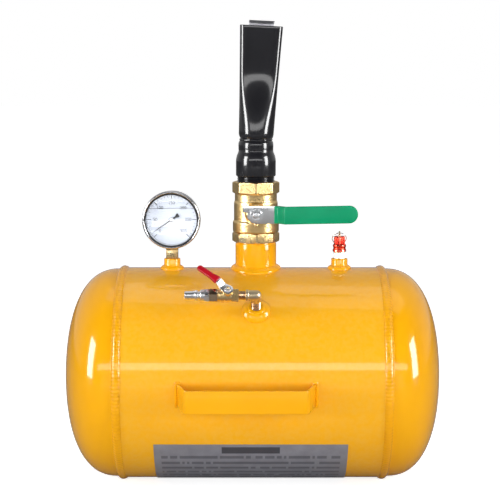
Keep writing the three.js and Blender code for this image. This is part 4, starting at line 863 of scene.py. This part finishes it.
def uphill(outline):
    # the arm was bent a touch upwards on its way out
    low, high = lever["sleeveStart"], lever["sleeveEnd"]
    return [(x, y + lever["uphill"] * max(0.0, (x - low) / (high - low))) for x, y in outline]


hubArc = [(lever["half"] * math.cos(math.radians(turn)), lever["half"] * math.sin(math.radians(turn)))
          for turn in range(270, 165, -13)]
plateOutline = [(-lever["ear"], lever["half"]), (22, lever["half"]), (22, lever["arm"]),
                (lever["end"] - lever["arm"], lever["arm"])]
plateOutline += roundTip(lever["end"], lever["arm"], lever["arm"])[::-1][1:]
plateOutline += [(22, -lever["arm"]), (22, -lever["half"])] + hubArc
plateOutline += [(-lever["half"] * 0.97, 2.75), (-lever["ear"], 2.75)]
platePlace = valveCentre + front * (lever["plane"] + lever["thickness"] / 2) * mm
leverPlate = plateForm("leverPlate", uphill(plateOutline), platePlace, right, up)
bentForward(leverPlate, platePlace, right, lever["bendStart"], lever["bendEnd"], lever["rise"], front)
thickened(leverPlate, lever["thickness"])
softEdges(leverPlate, 0.35, 2, 40)
finished(leverPlate, "main_lever", platedSteel, ["lever_plate"])

sleeveOutline = [(lever["sleeveStart"], -lever["half"])] + roundTip(lever["sleeveEnd"], lever["half"], 9.6)
sleeveOutline += [(lever["sleeveStart"], lever["half"])]
sleeve = plateForm("leverSleeve", uphill(sleeveOutline), platePlace, right, up)
bentForward(sleeve, platePlace, right, lever["bendStart"], lever["bendEnd"], lever["rise"], front)
thickened(sleeve, lever["thickness"] + 2 * lever["sleeveWall"])
softEdges(sleeve, 1.5, 5, 35)
finished(sleeve, "main_lever", greenVinyl, ["lever_sleeve"], angle=50)

nutFace = lever["plane"] + lever["thickness"]
washer = turnedForm("leverWasher", [(4, nutFace), (8.6, nutFace), (8.6, nutFace + 0.25), (4, nutFace + 0.25)],
                    valveCentre, front, 56)
finished(washer, "main_lever", platedSteel)
leverNut = nutForm("leverNut", 6, 7.5, nutFace + 0.3, nutFace + 6.8, 0.9, valveCentre, front, up)
nutBore = turnedForm("nutBore", [(0, 40), (3.95, 40), (3.95, 52), (0, 52)], valveCentre, front, 40)
combined(leverNut, nutBore, "DIFFERENCE")
softEdges(leverNut, 0.3, 3, 20)
finished(leverNut, "main_lever", platedSteel, ["lever_nut"])
print("valve and lever made")

# ---- nozzle

nozzle = {
    "thread": 21.9, "threadFoot": 213.7, "threadTop": 234.6, "pitch": 2.0,
    "base": 23.4, "baseTop": 252.0, "ring": 20.4, "ringFoot": 264.1, "ringTop": 276.3,
    "barrelFoot": 276.6, "lift": 0.99, "lean": 2.8, "radius": 20.3, "height": 132.0, "wall": 2.4,
    "mouthHalf": 25.1, "mouthThick": 9.5, "dent": 2.2, "pressEnd": 0.62,
    "hookWidth": 29.0, "hookThickness": 3.0, "hookShow": 6.0, "hookDown": 24.0, "hookLip": 9.0,
}
baseOutline = [(18.9, nozzle["threadFoot"]), (21.1, nozzle["threadFoot"]), (nozzle["thread"] - 0.9, 227.0)]
baseOutline += threadOutline(nozzle["thread"], 227.0, nozzle["threadTop"] - 0.4, nozzle["pitch"], 0.9)[1:]
baseOutline += [(22.5, nozzle["threadTop"]), (23.1, nozzle["threadTop"] + 0.4),
                (nozzle["base"], nozzle["threadTop"] + 1.2),
                (nozzle["base"], nozzle["baseTop"]), (23.25, 254.6), (22.8, 257.0), (22.1, 259.4),
                (21.2, 261.6),
                (20.6, 263.2), (20.3, 264.6), (nozzle["ring"], 266.4), (nozzle["ring"] + 0.15, 270.4),
                (nozzle["ring"], 273.6), (19.7, 275.2), (18.7, nozzle["ringTop"]), (17.4, nozzle["ringTop"]),
                (17.4, nozzle["ringFoot"]), (18.9, 256.1)]
nozzleBase = turnedForm("nozzleBase", baseOutline, neckLine, up, 96)
finished(nozzleBase, "tank", blackPaint, ["nozzle_base"], angle=45)

lean = math.radians(nozzle["lean"])
barrelAxis = Vector((math.sin(lean), 0, math.cos(lean)))
barrelRight = Vector((math.cos(lean), 0, -math.sin(lean)))
barrelFoot = neckLine + up * nozzle["barrelFoot"] * mm + barrelAxis * nozzle["lift"] * mm


def eased(value, low, high):
    share = min(max((value - low) / (high - low), 0.0), 1.0)
    return share * share * (3 - 2 * share)


def pressedPoint(turn, share):
    # the barrel's outside: a pipe at the foot, squeezed to a wide slot at the mouth
    foot = 1 - 0.12 * (1 - eased(share, 0, 0.045)) ** 2
    press = eased(share, 0.02, nozzle["pressEnd"])
    halfWidth = (nozzle["radius"] + (nozzle["mouthHalf"] - nozzle["radius"]) * share ** 1.15) * foot
    halfDepth = (nozzle["radius"] + (nozzle["mouthThick"] - nozzle["radius"]) * press) * foot
    power = 1 - 0.28 * press
    x = halfWidth * math.copysign(abs(math.cos(turn)) ** power, math.cos(turn))
    y = halfDepth * math.copysign(abs(math.sin(turn)) ** power, math.sin(turn))
    if math.sin(turn) < 0:
        y += nozzle["dent"] * press * (1 - (x / halfWidth) ** 2) ** 2
    return x * mm, y * mm


bpy.ops.object.select_all(action="DESELECT")
bpy.ops.mesh.primitive_circle_add(vertices=120, radius=nozzle["radius"] * mm, location=barrelFoot,
                                  rotation=(0, lean, 0))
barrel = startPiece("nozzleBarrel")
levels = 44
rise = barrelAxis * nozzle["height"] / levels * mm
editAll()
for level in range(levels):
    bpy.ops.mesh.extrude_edges_move(TRANSFORM_OT_translate={"value": rise})
bpy.ops.object.mode_set(mode="OBJECT")
for vertex in barrel.data.vertices:
    share = min(max(vertex.co.z / (nozzle["height"] * mm), 0.0), 1.0)
    vertex.co.x, vertex.co.y = pressedPoint(math.atan2(vertex.co.y, vertex.co.x), share)
only(barrel)
editAll()
bpy.ops.mesh.normals_make_consistent(inside=False)
bpy.ops.object.mode_set(mode="OBJECT")
thickened(barrel, nozzle["wall"], -1)
softEdges(barrel, 0.7, 3, 55)
finished(barrel, "tank", blackPaint, ["nozzle_barrel"], angle=50)

# the bead that closes the pipe onto its base
beadTurns = [math.tau * step / 90 for step in range(90)]
beadPoints = [neckLine + up * (nozzle["ringTop"] + 1.0 + 0.25 * math.sin(9 * turn)) * mm
              + Vector((math.cos(turn), math.sin(turn), 0)) * (18.0 + 0.2 * math.sin(13 * turn + 1)) * mm
              for turn in beadTurns]
nozzleWeld = beadForm("nozzleWeld", beadPoints, 1.5, closed=True)
finished(nozzleWeld, "tank", blackPaint, angle=60)

hookTop = nozzle["height"] + nozzle["hookShow"] - nozzle["hookThickness"] / 2
hookBack = nozzle["mouthThick"] + 0.3 + nozzle["hookThickness"] / 2


def hookPoint(x, depth, height):
    return barrelFoot + barrelRight * x * mm + back * depth * mm + barrelAxis * height * mm


hookRoute = [hookPoint(-nozzle["hookWidth"] / 2, hookBack, hookTop - nozzle["hookDown"]),
             hookPoint(-nozzle["hookWidth"] / 2, hookBack, hookTop),
             hookPoint(-nozzle["hookWidth"] / 2, hookBack + nozzle["hookLip"] - 2, hookTop - 1.2)]
hook = drawLine("rimHook", hookRoute, False)
bpy.ops.object.mode_set(mode="OBJECT")
for vertex in hook.data.vertices:
    vertex.select = (hook.matrix_world @ vertex.co - hookRoute[1]).length < 0.001
bpy.ops.object.mode_set(mode="EDIT")
bpy.ops.mesh.bevel(offset=2.6 * mm, segments=5, affect="VERTICES")
bpy.ops.mesh.select_all(action="SELECT")
bpy.ops.mesh.extrude_edges_move(TRANSFORM_OT_translate={"value": barrelRight * nozzle["hookWidth"] * mm})
bpy.ops.object.mode_set(mode="OBJECT")
thickened(hook, nozzle["hookThickness"])
softEdges(hook, 0.5, 2, 50)
finished(hook, "tank", bareSteel, ["rim_hook"])
print("nozzle made")

# ---- gauge: distances are in front of its stem's axis

gauge = {"opening": 29.8, "face": 8.8, "level": 13.2}
gaugeCase = turnedForm("gaugeCase", [(0, -10), (29.4, -10), (31.4, -9.5), (32.5, -8.3), (32.8, -6.8),
                                     (32.8, 15),
                       (31.6, 15), (31.6, -8.8), (0, -8.8)], dialCentre, front, 96)
finished(gaugeCase, "tank", stainless, ["gauge_case"])
bezel = turnedForm("gaugeBezel", [(33.0, 11.2), (33.5, 10.9), (34.0, 11.1), (34.2, 11.7), (34.2, 17.2),
                                  (34.0, 18.6),
                   (33.6, 19.7), (33.1, 20.3), (32.5, 20.5), (31.9, 20.2), (31.5, 19.6), (31.3, 18.9),
                   (gauge["opening"] + 0.6, 18.8), (33.0, 18.8)], dialCentre, front, 112)
finished(bezel, "tank", stainless, ["gauge_bezel"], angle=50)
lens = softEdges(turnedForm("gaugeLens", [(0, 16.4), (32.8, 16.4), (32.8, 18.7), (0, 18.7)], dialCentre,
                            front, 96), 0.3)
finished(lens, "tank", clearGlass, ["gauge_lens"])
dialPlateForm = turnedForm("dialFace", [(1.6, 8.0), (31.3, 8.0), (31.3, gauge["face"]),
                                        (1.6, gauge["face"])], dialCentre, front, 96)
finished(dialPlateForm, "tank", dialPlate, ["gauge_dial"])

# a black seal ring on the lens under the bezel's lip; its dark band also stands in for the shade the bezel
# casts round the dial's edge (painted shade)
lensSealAndShade = turnedForm("lensSealAndShade", [(29.7, 18.7), (31.5, 18.7), (31.5, 19.1), (31.0, 19.3), (29.9, 19.1)],
                     dialCentre, front, 96)
finished(lensSealAndShade, "tank", blackRubber)

scale = {"zero": 225.0, "sweep": 270.0, "top": 300, "outer": 28.2, "numberRadius": 18.4, "numberSize": 5.0}
ink = 0.08  # printed thickness


def dialPoint(x, z, reachOut):
    return dialCentre + Vector((x, -reachOut, z)) * mm


def stroke(name, turn, inner, outer, width):
    # one printed mark, lying along a radius of the dial
    along = Vector((math.cos(turn), 0, math.sin(turn)))
    across = Vector((-math.sin(turn), 0, math.cos(turn)))
    place = dialPoint(0, 0, gauge["face"] + ink / 2)
    mark = plateForm(name, [(inner, -width / 2), (outer, -width / 2), (outer, width / 2), (inner, width / 2)],
                     place, along, across)
    bpy.ops.object.mode_set(mode="OBJECT")
    return thickened(mark, ink)


marks = []
for value in range(0, scale["top"] + 1, 5):
    turn = math.radians(scale["zero"] - scale["sweep"] * value / scale["top"])
    long, width = (5.2, 0.7) if value % 50 == 0 else (3.2, 0.42) if value % 10 == 0 else (1.8, 0.26)
    marks.append(stroke("mark", turn, scale["outer"] - long, scale["outer"], width))
ringLine = turnedForm("ringLine", [(scale["outer"], gauge["face"]), (scale["outer"] + 0.3, gauge["face"]),
                      (scale["outer"] + 0.3, gauge["face"] + ink), (scale["outer"], gauge["face"] + ink)],
                      dialCentre, front, 96)
for value in range(0, scale["top"] + 1, 50):
    turn = math.radians(scale["zero"] - scale["sweep"] * value / scale["top"])
    bpy.ops.object.select_all(action="DESELECT")
    bpy.ops.object.text_add(rotation=(math.radians(90), 0, 0), location=dialPoint(
        scale["numberRadius"] * math.cos(turn), scale["numberRadius"] * math.sin(turn),
        gauge["face"] + ink / 2))
    number = bpy.context.object
    number.data.body = str(value)
    number.data.size = scale["numberSize"] * mm
    number.data.align_x = "CENTER"
    number.data.align_y = "CENTER"
    number.data.extrude = ink / 2 * mm
    number.data.resolution_u = 3
    bpy.ops.object.convert(target="MESH")
    marks.append(cleaned(number))
for number in marks:
    applied(number)
dialMarks = named(joined(ringLine, *marks), "dialMarks")
finished(dialMarks, "tank", dialInk)

chord = math.sqrt(29.4 ** 2 - gauge["level"] ** 2)
level = beadForm("fillLevel", [dialPoint(x, gauge["level"] + 0.25 * math.sin(x / 9), 12.5)
                               for x in (-chord, -chord * 0.5, 0, chord * 0.5, chord)], 0.2)
finished(level, "tank", dialInk)

needle = {"turn": 214.5, "tip": 24.7, "tail": 9.5, "plane": 10.7}
needleWay = Vector((math.cos(math.radians(needle["turn"])), 0, math.sin(math.radians(needle["turn"]))))
needleAcross = Vector((-needleWay.z, 0, needleWay.x))
needleOutline = [(-needle["tail"], -2.6), (-6.4, -1.5), (-5.4, -0.9), (-2, -0.9), (2, -0.8),
                 (needle["tip"], -0.2),
                 (needle["tip"], 0.2), (2, 0.8), (-2, 0.9), (-5.4, 0.9), (-6.4, 1.5), (-needle["tail"], 2.6)]
pointer = plateForm("gaugeNeedle", needleOutline, dialPoint(0, 0, needle["plane"]), needleWay, needleAcross)
bpy.ops.object.mode_set(mode="OBJECT")
thickened(pointer, 0.5)
finished(softEdges(pointer, 0.08, 1, 40), "needle", needleBlack, ["gauge_needle"])
hub = turnedForm("needleHub", [(0, 9.9), (2.7, 9.9), (2.7, 11.3), (2.4, 11.8), (1.6, 12.0), (1.3, 12.3),
                               (0, 12.4)],
                 dialCentre, front, 40)
finished(hub, "needle", platedSteel)

squareCorner = Vector((1, -1, 0)).normalized()
gaugeStem = nutForm("gaugeStem", 4, 9.9, 137.3, 149.0, 1.7, gaugeLine, up, squareCorner)
gaugeNeck = turnedForm("gaugeNeck", [(0, 130), (6.2, 130), (6.2, 153.4), (0, 153.4)], gaugeLine, up, 48)
joined(gaugeStem, gaugeNeck)
softEdges(gaugeStem, 0.3, 2, 30)
finished(gaugeStem, "tank", castBrass, ["gauge_stem"])
print("gauge made")

# ---- relief valve

relief = {"hex": 7.62, "foot": 137.3, "hexTop": 144.3, "top": 163.3, "eye": 166.9,
          "ring": 8.4, "wire": 0.42, "hang": 33.0}
reliefHex = nutForm("reliefBody", 6, relief["hex"], relief["foot"], relief["hexTop"], 0.8, reliefLine, up,
                    front)
reliefBore = turnedForm("reliefBore", [(0, 130), (3.2, 130), (3.2, 140.2), (5.0, 140.2), (5.0, 150),
                                       (0, 150)],
                        reliefLine, up, 40)
combined(reliefHex, reliefBore, "DIFFERENCE")
reliefThread = turnedForm("reliefThread", [(2.4, 128), (6.2, 128), (6.2, 137.6), (5.6, 137.6), (5.6, 150.3),
                          (4.5, 150.3), (4.5, 141.2), (2.4, 141.2)], reliefLine, up, 40)
joined(reliefHex, reliefThread)
softEdges(reliefHex, 0.25, 2, 20)
finished(reliefHex, "tank", paleBrass, ["relief_body"])
bonnetOutline = [(5.9, 144.6), (7.4, 144.6), (8.1, 145.2), (8.1, 147.4), (7.3, 148.4), (7.3, 150.2),
                 (7.9, 151.0),
                 (7.9, 152.8), (7.2, 153.7), (6.6, 154.2), (6.6, 161.9), (6.2, 162.8), (5.4, relief["top"]),
                 (1.75, relief["top"]), (1.75, 159.4), (4.4, 159.4), (4.4, 150.6), (5.9, 150.6)]
bonnet = turnedForm("reliefBonnet", bonnetOutline, reliefLine, up, 120)
applied(bonnet)
for vertex in bonnet.data.vertices:
    # shallow grip flutes round the upper part
    offset = vertex.co - reliefLine
    flat = Vector((offset.x, offset.y, 0))
    if offset.z > 153.9 * mm and flat.length > 5 * mm:
        groove = max(0.0, math.cos(12 * math.atan2(offset.y, offset.x))) ** 0.6
        vertex.co -= flat.normalized() * 0.75 * mm * groove
finished(bonnet, "tank", redAnodised, ["relief_bonnet"], angle=40)
spindle = turnedForm("reliefSpindle", [(0, 143.8), (4.1, 143.8), (4.1, 145.2), (1.4, 145.2), (1.4, 165.4),
                                       (0, 165.4)],
                     reliefLine, up, 32)
eyeCentre = reliefLine + up * relief["eye"] * mm
eye = softEdges(turnedForm("eye", [(1.15, -0.9), (2.5, -0.9), (2.5, 0.9), (1.15, 0.9)], eyeCentre, right,
                           32), 0.3)
joined(spindle, eye)
finished(spindle, "relief_stem", paleBrass, ["relief_spindle"])

# the coil spring, drawn at its rest length; on the valve it shortens from below as the spindle lifts
spring = {"radius": 3.2, "wire": 0.45, "turns": 5, "foot": 145.55, "top": 159.1, "lift": 2.5}
helix = []
for step in range(spring["turns"] * 24 + 1):
    turn = math.tau * step / 24
    share = step / (spring["turns"] * 24)
    rise = spring["foot"] + spring["wire"] + share * (spring["top"] - spring["foot"] - 2 * spring["wire"])
    outwards = right * math.cos(turn) + front * math.sin(turn)
    helix.append(reliefLine + outwards * spring["radius"] * mm + up * rise * mm)
springPiece = beadForm("reliefSpring", helix, spring["wire"])
finished(springPiece, "tank", platedSteel, ["relief_spring"], angle=60)
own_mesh(springPiece)

# a split ring: two turns of wire side by side, hanging back from the eye
hang = math.radians(relief["hang"])
ringDown = Vector((0, math.sin(hang), -math.cos(hang)))
ringCentre = eyeCentre + ringDown * relief["ring"] * mm
ringNormal = ringDown.cross(right)
coil = []
for step in range(101):
    turn = math.tau * 2 * step / 100
    offsetOut = relief["wire"] * 0.95 * math.tanh((step - 50) / 14)
    coil.append(ringCentre + (right * math.cos(turn) + ringDown * math.sin(turn)) * relief["ring"] * mm
                + ringNormal * offsetOut * mm)
ring = beadForm("pullRing", coil, relief["wire"])
finished(ring, "ring", platedSteel, ["pull_ring"], angle=60)
print("relief valve made")

# ---- filling line: distances to the left of the boss, or out from the line

fill = {"elbow": 5.8, "leg": 11.8, "nipple": 4.9, "bodyStart": 19.5, "bodyEnd": 43.0, "bodyHex": 7.85,
        "chamber": 7.6, "capHex": 7.97, "capEnd": 52.2, "plug": 52.5, "plugHex": 7.5, "boss": 8.8}
spine = turnedForm("spine", [(0, -18.6), (4.4, -18.6), (4.4, -9.4), (fill["elbow"], -8.8),
                   (fill["elbow"], 0), (0, 0)], fillCorner, fillOut, 48)
leg = turnedForm("leg", [(0, 0), (fill["elbow"], 0), (fill["elbow"], 8.2), (fill["elbow"] + 0.5, 8.8),
                         (fill["elbow"] + 0.5, 11.3),
                 (fill["elbow"] + 0.1, fill["leg"]), (0, fill["leg"])], fillCorner, left, 48)
bpy.ops.object.select_all(action="DESELECT")
bpy.ops.mesh.primitive_uv_sphere_add(radius=fill["elbow"] * mm, location=fillCorner, segments=40,
                                     ring_count=24)
corner = startPiece("elbowCorner")
elbow = castForm("fillElbow", [spine, leg, corner], 0.28, 2)
elbowThread = turnedForm("elbowThread", [(0, -27)] + threadOutline(5.5, -27, -9.2, 1.5, 0.7) + [(0, -9.2)],
                         fillCorner, fillOut, 48)
finished(elbowThread, "tank", darkBrass)
finished(elbow, "tank", paleBrass, ["fill_elbow"], angle=50)
nippleOutline = [(0, 12.1)] + threadOutline(fill["nipple"], 12.1, 19.2, 1.3, 0.5) + [(4.2, 23.5), (0, 23.5)]
nipple = turnedForm("fillNipple", nippleOutline, fillCorner, left, 40)
finished(nipple, "tank", darkBrass, ["fill_nipple"], angle=50)

bodyHex = nutForm("bodyHex", 6, fill["bodyHex"], fill["bodyStart"], 27.5, 0.8, fillCorner, left, fillUp)
chamber = turnedForm("chamber", [(0, 25.5), (6.4, 25.5), (7.1, 26.6), (fill["chamber"], 28.4),
                                 (fill["chamber"], 40.2),
                     (6.9, fill["bodyEnd"]), (0, fill["bodyEnd"])], fillCorner, left, 56)
stemTower = turnedForm("stemTower", [(0, 0), (5.6, 0), (5.3, 7.6), (5.0, 8.1), (5.0, fill["boss"] - 0.3),
                       (4.7, fill["boss"]), (0, fill["boss"])], fillPivot, fillOut, 48)
smallBody = castForm("fillValveBody", [bodyHex, chamber, stemTower], 0.32, 2)
finished(smallBody, "tank", castBrass, ["fill_valve_body"], angle=50)
smallCap = nutForm("fillValveCap", 6, fill["capHex"], 43.3, fill["capEnd"], 0.8, fillCorner, left, fillUp)
capRing = turnedForm("capRing", [(0, 42.4), (6.0, 42.4), (6.0, 43.8), (0, 43.8)], fillCorner, left, 48)
joined(smallCap, capRing)
finished(softEdges(smallCap, 0.25, 2, 20), "tank", darkBrass, ["fill_valve_cap"])

plugFoot = fillCorner + left * fill["plug"] * mm
plugHex = nutForm("airPlug", 6, fill["plugHex"], 0, 5.2, 0.7, plugFoot, left, fillUp)
plugBody = turnedForm("plugBody", [(3.0, 0.5), (5.9, 4.4), (6.3, 5.8), (6.3, 9.0), (5.8, 9.7), (4.7, 10.1),
                      (4.6, 12.0), (5.5, 12.7), (5.75, 13.3), (5.7, 15.2), (5.2, 16.2), (4.9, 18),
                      (4.5, 26.0),
                      (4.3, 27.0), (3.9, 27.4), (3.3, 27.4), (3.0, 27.0)], plugFoot, left, 56)
joined(plugHex, plugBody)
finished(softEdges(plugHex, 0.2, 2, 25), "tank", platedSteel, ["air_plug"])

smallLever = {"angle": 40.0, "foot": 9.6, "thickness": 1.8, "rise": 5.0, "length": 44.0, "sleeveStart": 14.5}
turned = math.radians(smallLever["angle"])
leverWay = left * math.cos(turned) + fillUp * math.sin(turned)
leverSide = fillOut.cross(leverWay)
smallPlace = fillPivot + fillOut * (smallLever["foot"] + smallLever["thickness"] / 2) * mm
hubPoints = [(6 * math.cos(math.radians(turn)), 6 * math.sin(math.radians(turn)))
             for turn in range(68, 293, 16)]
smallOutline = [(14, -3.6), (24, -1.9), (smallLever["length"] - 3.4, -1.9), (smallLever["length"] - 1.6, 0),
                (smallLever["length"] - 3.4, 1.9),
                (24, 1.9), (14, 3.6)] + hubPoints
smallPlate = plateForm("smallLeverPlate", smallOutline, smallPlace, leverWay, leverSide)
bentForward(smallPlate, smallPlace, leverWay, 8.0, 13.0, smallLever["rise"], fillOut)
thickened(smallPlate, smallLever["thickness"])
finished(softEdges(smallPlate, 0.25, 2, 40), "fill_lever", platedSteel, ["fill_lever_plate"])

tipPoints = [(smallLever["length"] - 3.6 + 3.6 * math.cos(math.radians(turn)),
              3.4 * math.sin(math.radians(turn)))
             for turn in range(-90, 91, 15)]
gripOutline = [(smallLever["sleeveStart"], -5.0), (24, -3.5)] + tipPoints
gripOutline += [(24, 3.5), (smallLever["sleeveStart"], 5.0)]
gripPlace = smallPlace + fillOut * smallLever["rise"] * mm
grip = plateForm("smallLeverSleeve", gripOutline, gripPlace, leverWay, leverSide)
bpy.ops.object.mode_set(mode="OBJECT")
thickened(grip, smallLever["thickness"] + 2.6)
softEdges(grip, 1.4, 5, 35)
finished(grip, "fill_lever", redVinyl, ["fill_lever_sleeve"], angle=50)

nutFoot = smallLever["foot"] + smallLever["thickness"] + 0.3
smallNut = nutForm("smallLeverNut", 6, 4.04, nutFoot, nutFoot + 2.6, 0.5, fillPivot, fillOut, fillUp, 48)
smallBore = turnedForm("smallBore", [(0, 9), (1.85, 9), (1.85, 17), (0, 17)], fillPivot, fillOut, 32)
combined(smallNut, smallBore, "DIFFERENCE")
finished(softEdges(smallNut, 0.15, 2, 20), "fill_lever", platedSteel, ["fill_lever_nut"])
smallStemOutline = [(0, 5.4), (2.2, 5.4), (2.2, 9.3), (1.5, 9.3), (1.5, 11.5)]
smallStemOutline += threadOutline(1.7, 11.5, 14.7, 0.8, 0.25)[1:] + [(1.1, 14.95), (0, 15.0)]
smallStem = turnedForm("smallStem", smallStemOutline, fillPivot, fillOut, 32)
finished(smallStem, "fill_lever", castBrass, ["fill_valve_stem"], angle=50)
print("filling line made")

# ---- inside pieces keep their CAD shape and get a worked finish

insideFinish = {
    "valve_ball": platedSteel, "valve_seat_upper": whitePolymer, "valve_seat_lower": whitePolymer,
    "stem_packing": whitePolymer, "gauge_gasket": blackRubber, "gauge_fill_plug": blackRubber,
    "gauge_pinion": castBrass, "gauge_sector": castBrass, "gauge_movement_frame": castBrass,
    "gauge_bourdon_tube": castBrass, "relief_disc": blackRubber,
    "fill_valve_ball": platedSteel, "fill_valve_seat_outer": whitePolymer,
    "fill_valve_seat_inner": whitePolymer,
}
for nodeName, material in insideFinish.items():
    for slotPlace in frame["nodes"][nodeName].material_slots:
        slotPlace.material = material

# ---- floor, surroundings and lights

studio = {"floor": 30.0, "sky": 0.45, "shade": 0.04, "stripPower": 48.0, "keyPower": 23.0, "bandPower": 28.0,
          "topPower": 5.0, "fillPower": 27.0, "floorGlow": 0.8}
bpy.ops.object.select_all(action="DESELECT")
bpy.ops.mesh.primitive_plane_add(size=studio["floor"], location=(0, 0, 0))
floor = startPiece("floor")
floorMaterial, floorTree, floorShader, floorPlace = newMaterial("paleFloor", Roughness=0.7)
floorTone = blendColours(floorTree, noiseOf(floorTree, floorPlace, 3.0), grey(0.86), grey(0.9))
feed(floorTree, floorShader, Base_Color=floorTone)
floorShader.inputs["Emission Color"].default_value = grey(1)
floorShader.inputs["Emission Strength"].default_value = studio["floorGlow"]
# a dimmer floor for reflections and bounce, so that gloss stays deep
dimFloor = addNode(floorTree, "ShaderNodeBsdfDiffuse", {"Color": grey(0.36)})
seen = floorTree.nodes.new("ShaderNodeLightPath").outputs["Is Camera Ray"]
floorMix = addNode(floorTree, "ShaderNodeMixShader",
                   {0: seen, 1: dimFloor.outputs[0], 2: floorShader.outputs[0]})
floorTree.links.new(floorMix.outputs[0], floorTree.nodes["Material Output"].inputs["Surface"])
floor.data.materials.append(floorMaterial)

world = bpy.data.worlds.new("studio")
bpy.context.scene.world = world
world.use_nodes = True
worldTree = world.node_tree
direction = worldTree.nodes.new("ShaderNodeTexCoord").outputs["Generated"]
parts = addNode(worldTree, "ShaderNodeSeparateXYZ", {0: direction}).outputs
behind = spread(worldTree, parts["Y"], -0.15, 0.35, 0.0, 1.0)  # white behind the object, dim in front
seenSky = worldTree.nodes.new("ShaderNodeLightPath").outputs["Is Camera Ray"]
around = blendColours(worldTree, behind, grey(studio["shade"]),
                      grey(studio["sky"]))
backgroundShader = worldTree.nodes["Background"]
worldTree.links.new(blendColours(worldTree, seenSky, around, grey(1)), backgroundShader.inputs["Color"])


def softbox(name, place, width, height, power, reflected=True, lights=True):
    lamp = bpy.data.lights.new(name, "AREA")
    lamp.shape = "RECTANGLE"
    lamp.size = width
    lamp.size_y = height
    lamp.energy = power
    box = bpy.data.objects.new(name, lamp)
    bpy.context.scene.collection.objects.link(box)
    box.location = place
    box.rotation_euler = (tankAxis - place).to_track_quat("-Z", "Y").to_euler()
    box.visible_glossy = reflected
    box.visible_diffuse = lights


for side in (-1, 1):
    place = Vector((1.8 * side, -0.87, 0.72))
    softbox("strip", place, 0.65, 1.15, studio["stripPower"], lights=False)
    softbox("key", place, 0.5, 1.5, studio["keyPower"], reflected=False)
softbox("band", Vector((0, -3.0, 1.05)), 5.0, 0.4, studio["bandPower"])
softbox("overhead", Vector((0.2, 0.35, 2.2)), 1.8, 1.1, studio["topPower"])
softbox("fill", Vector((0, -2.4, 0.25)), 2.4, 0.5, studio["fillPower"], reflected=False)
bpy.context.scene.view_settings.view_transform = "Standard"
print("stage and lights set")
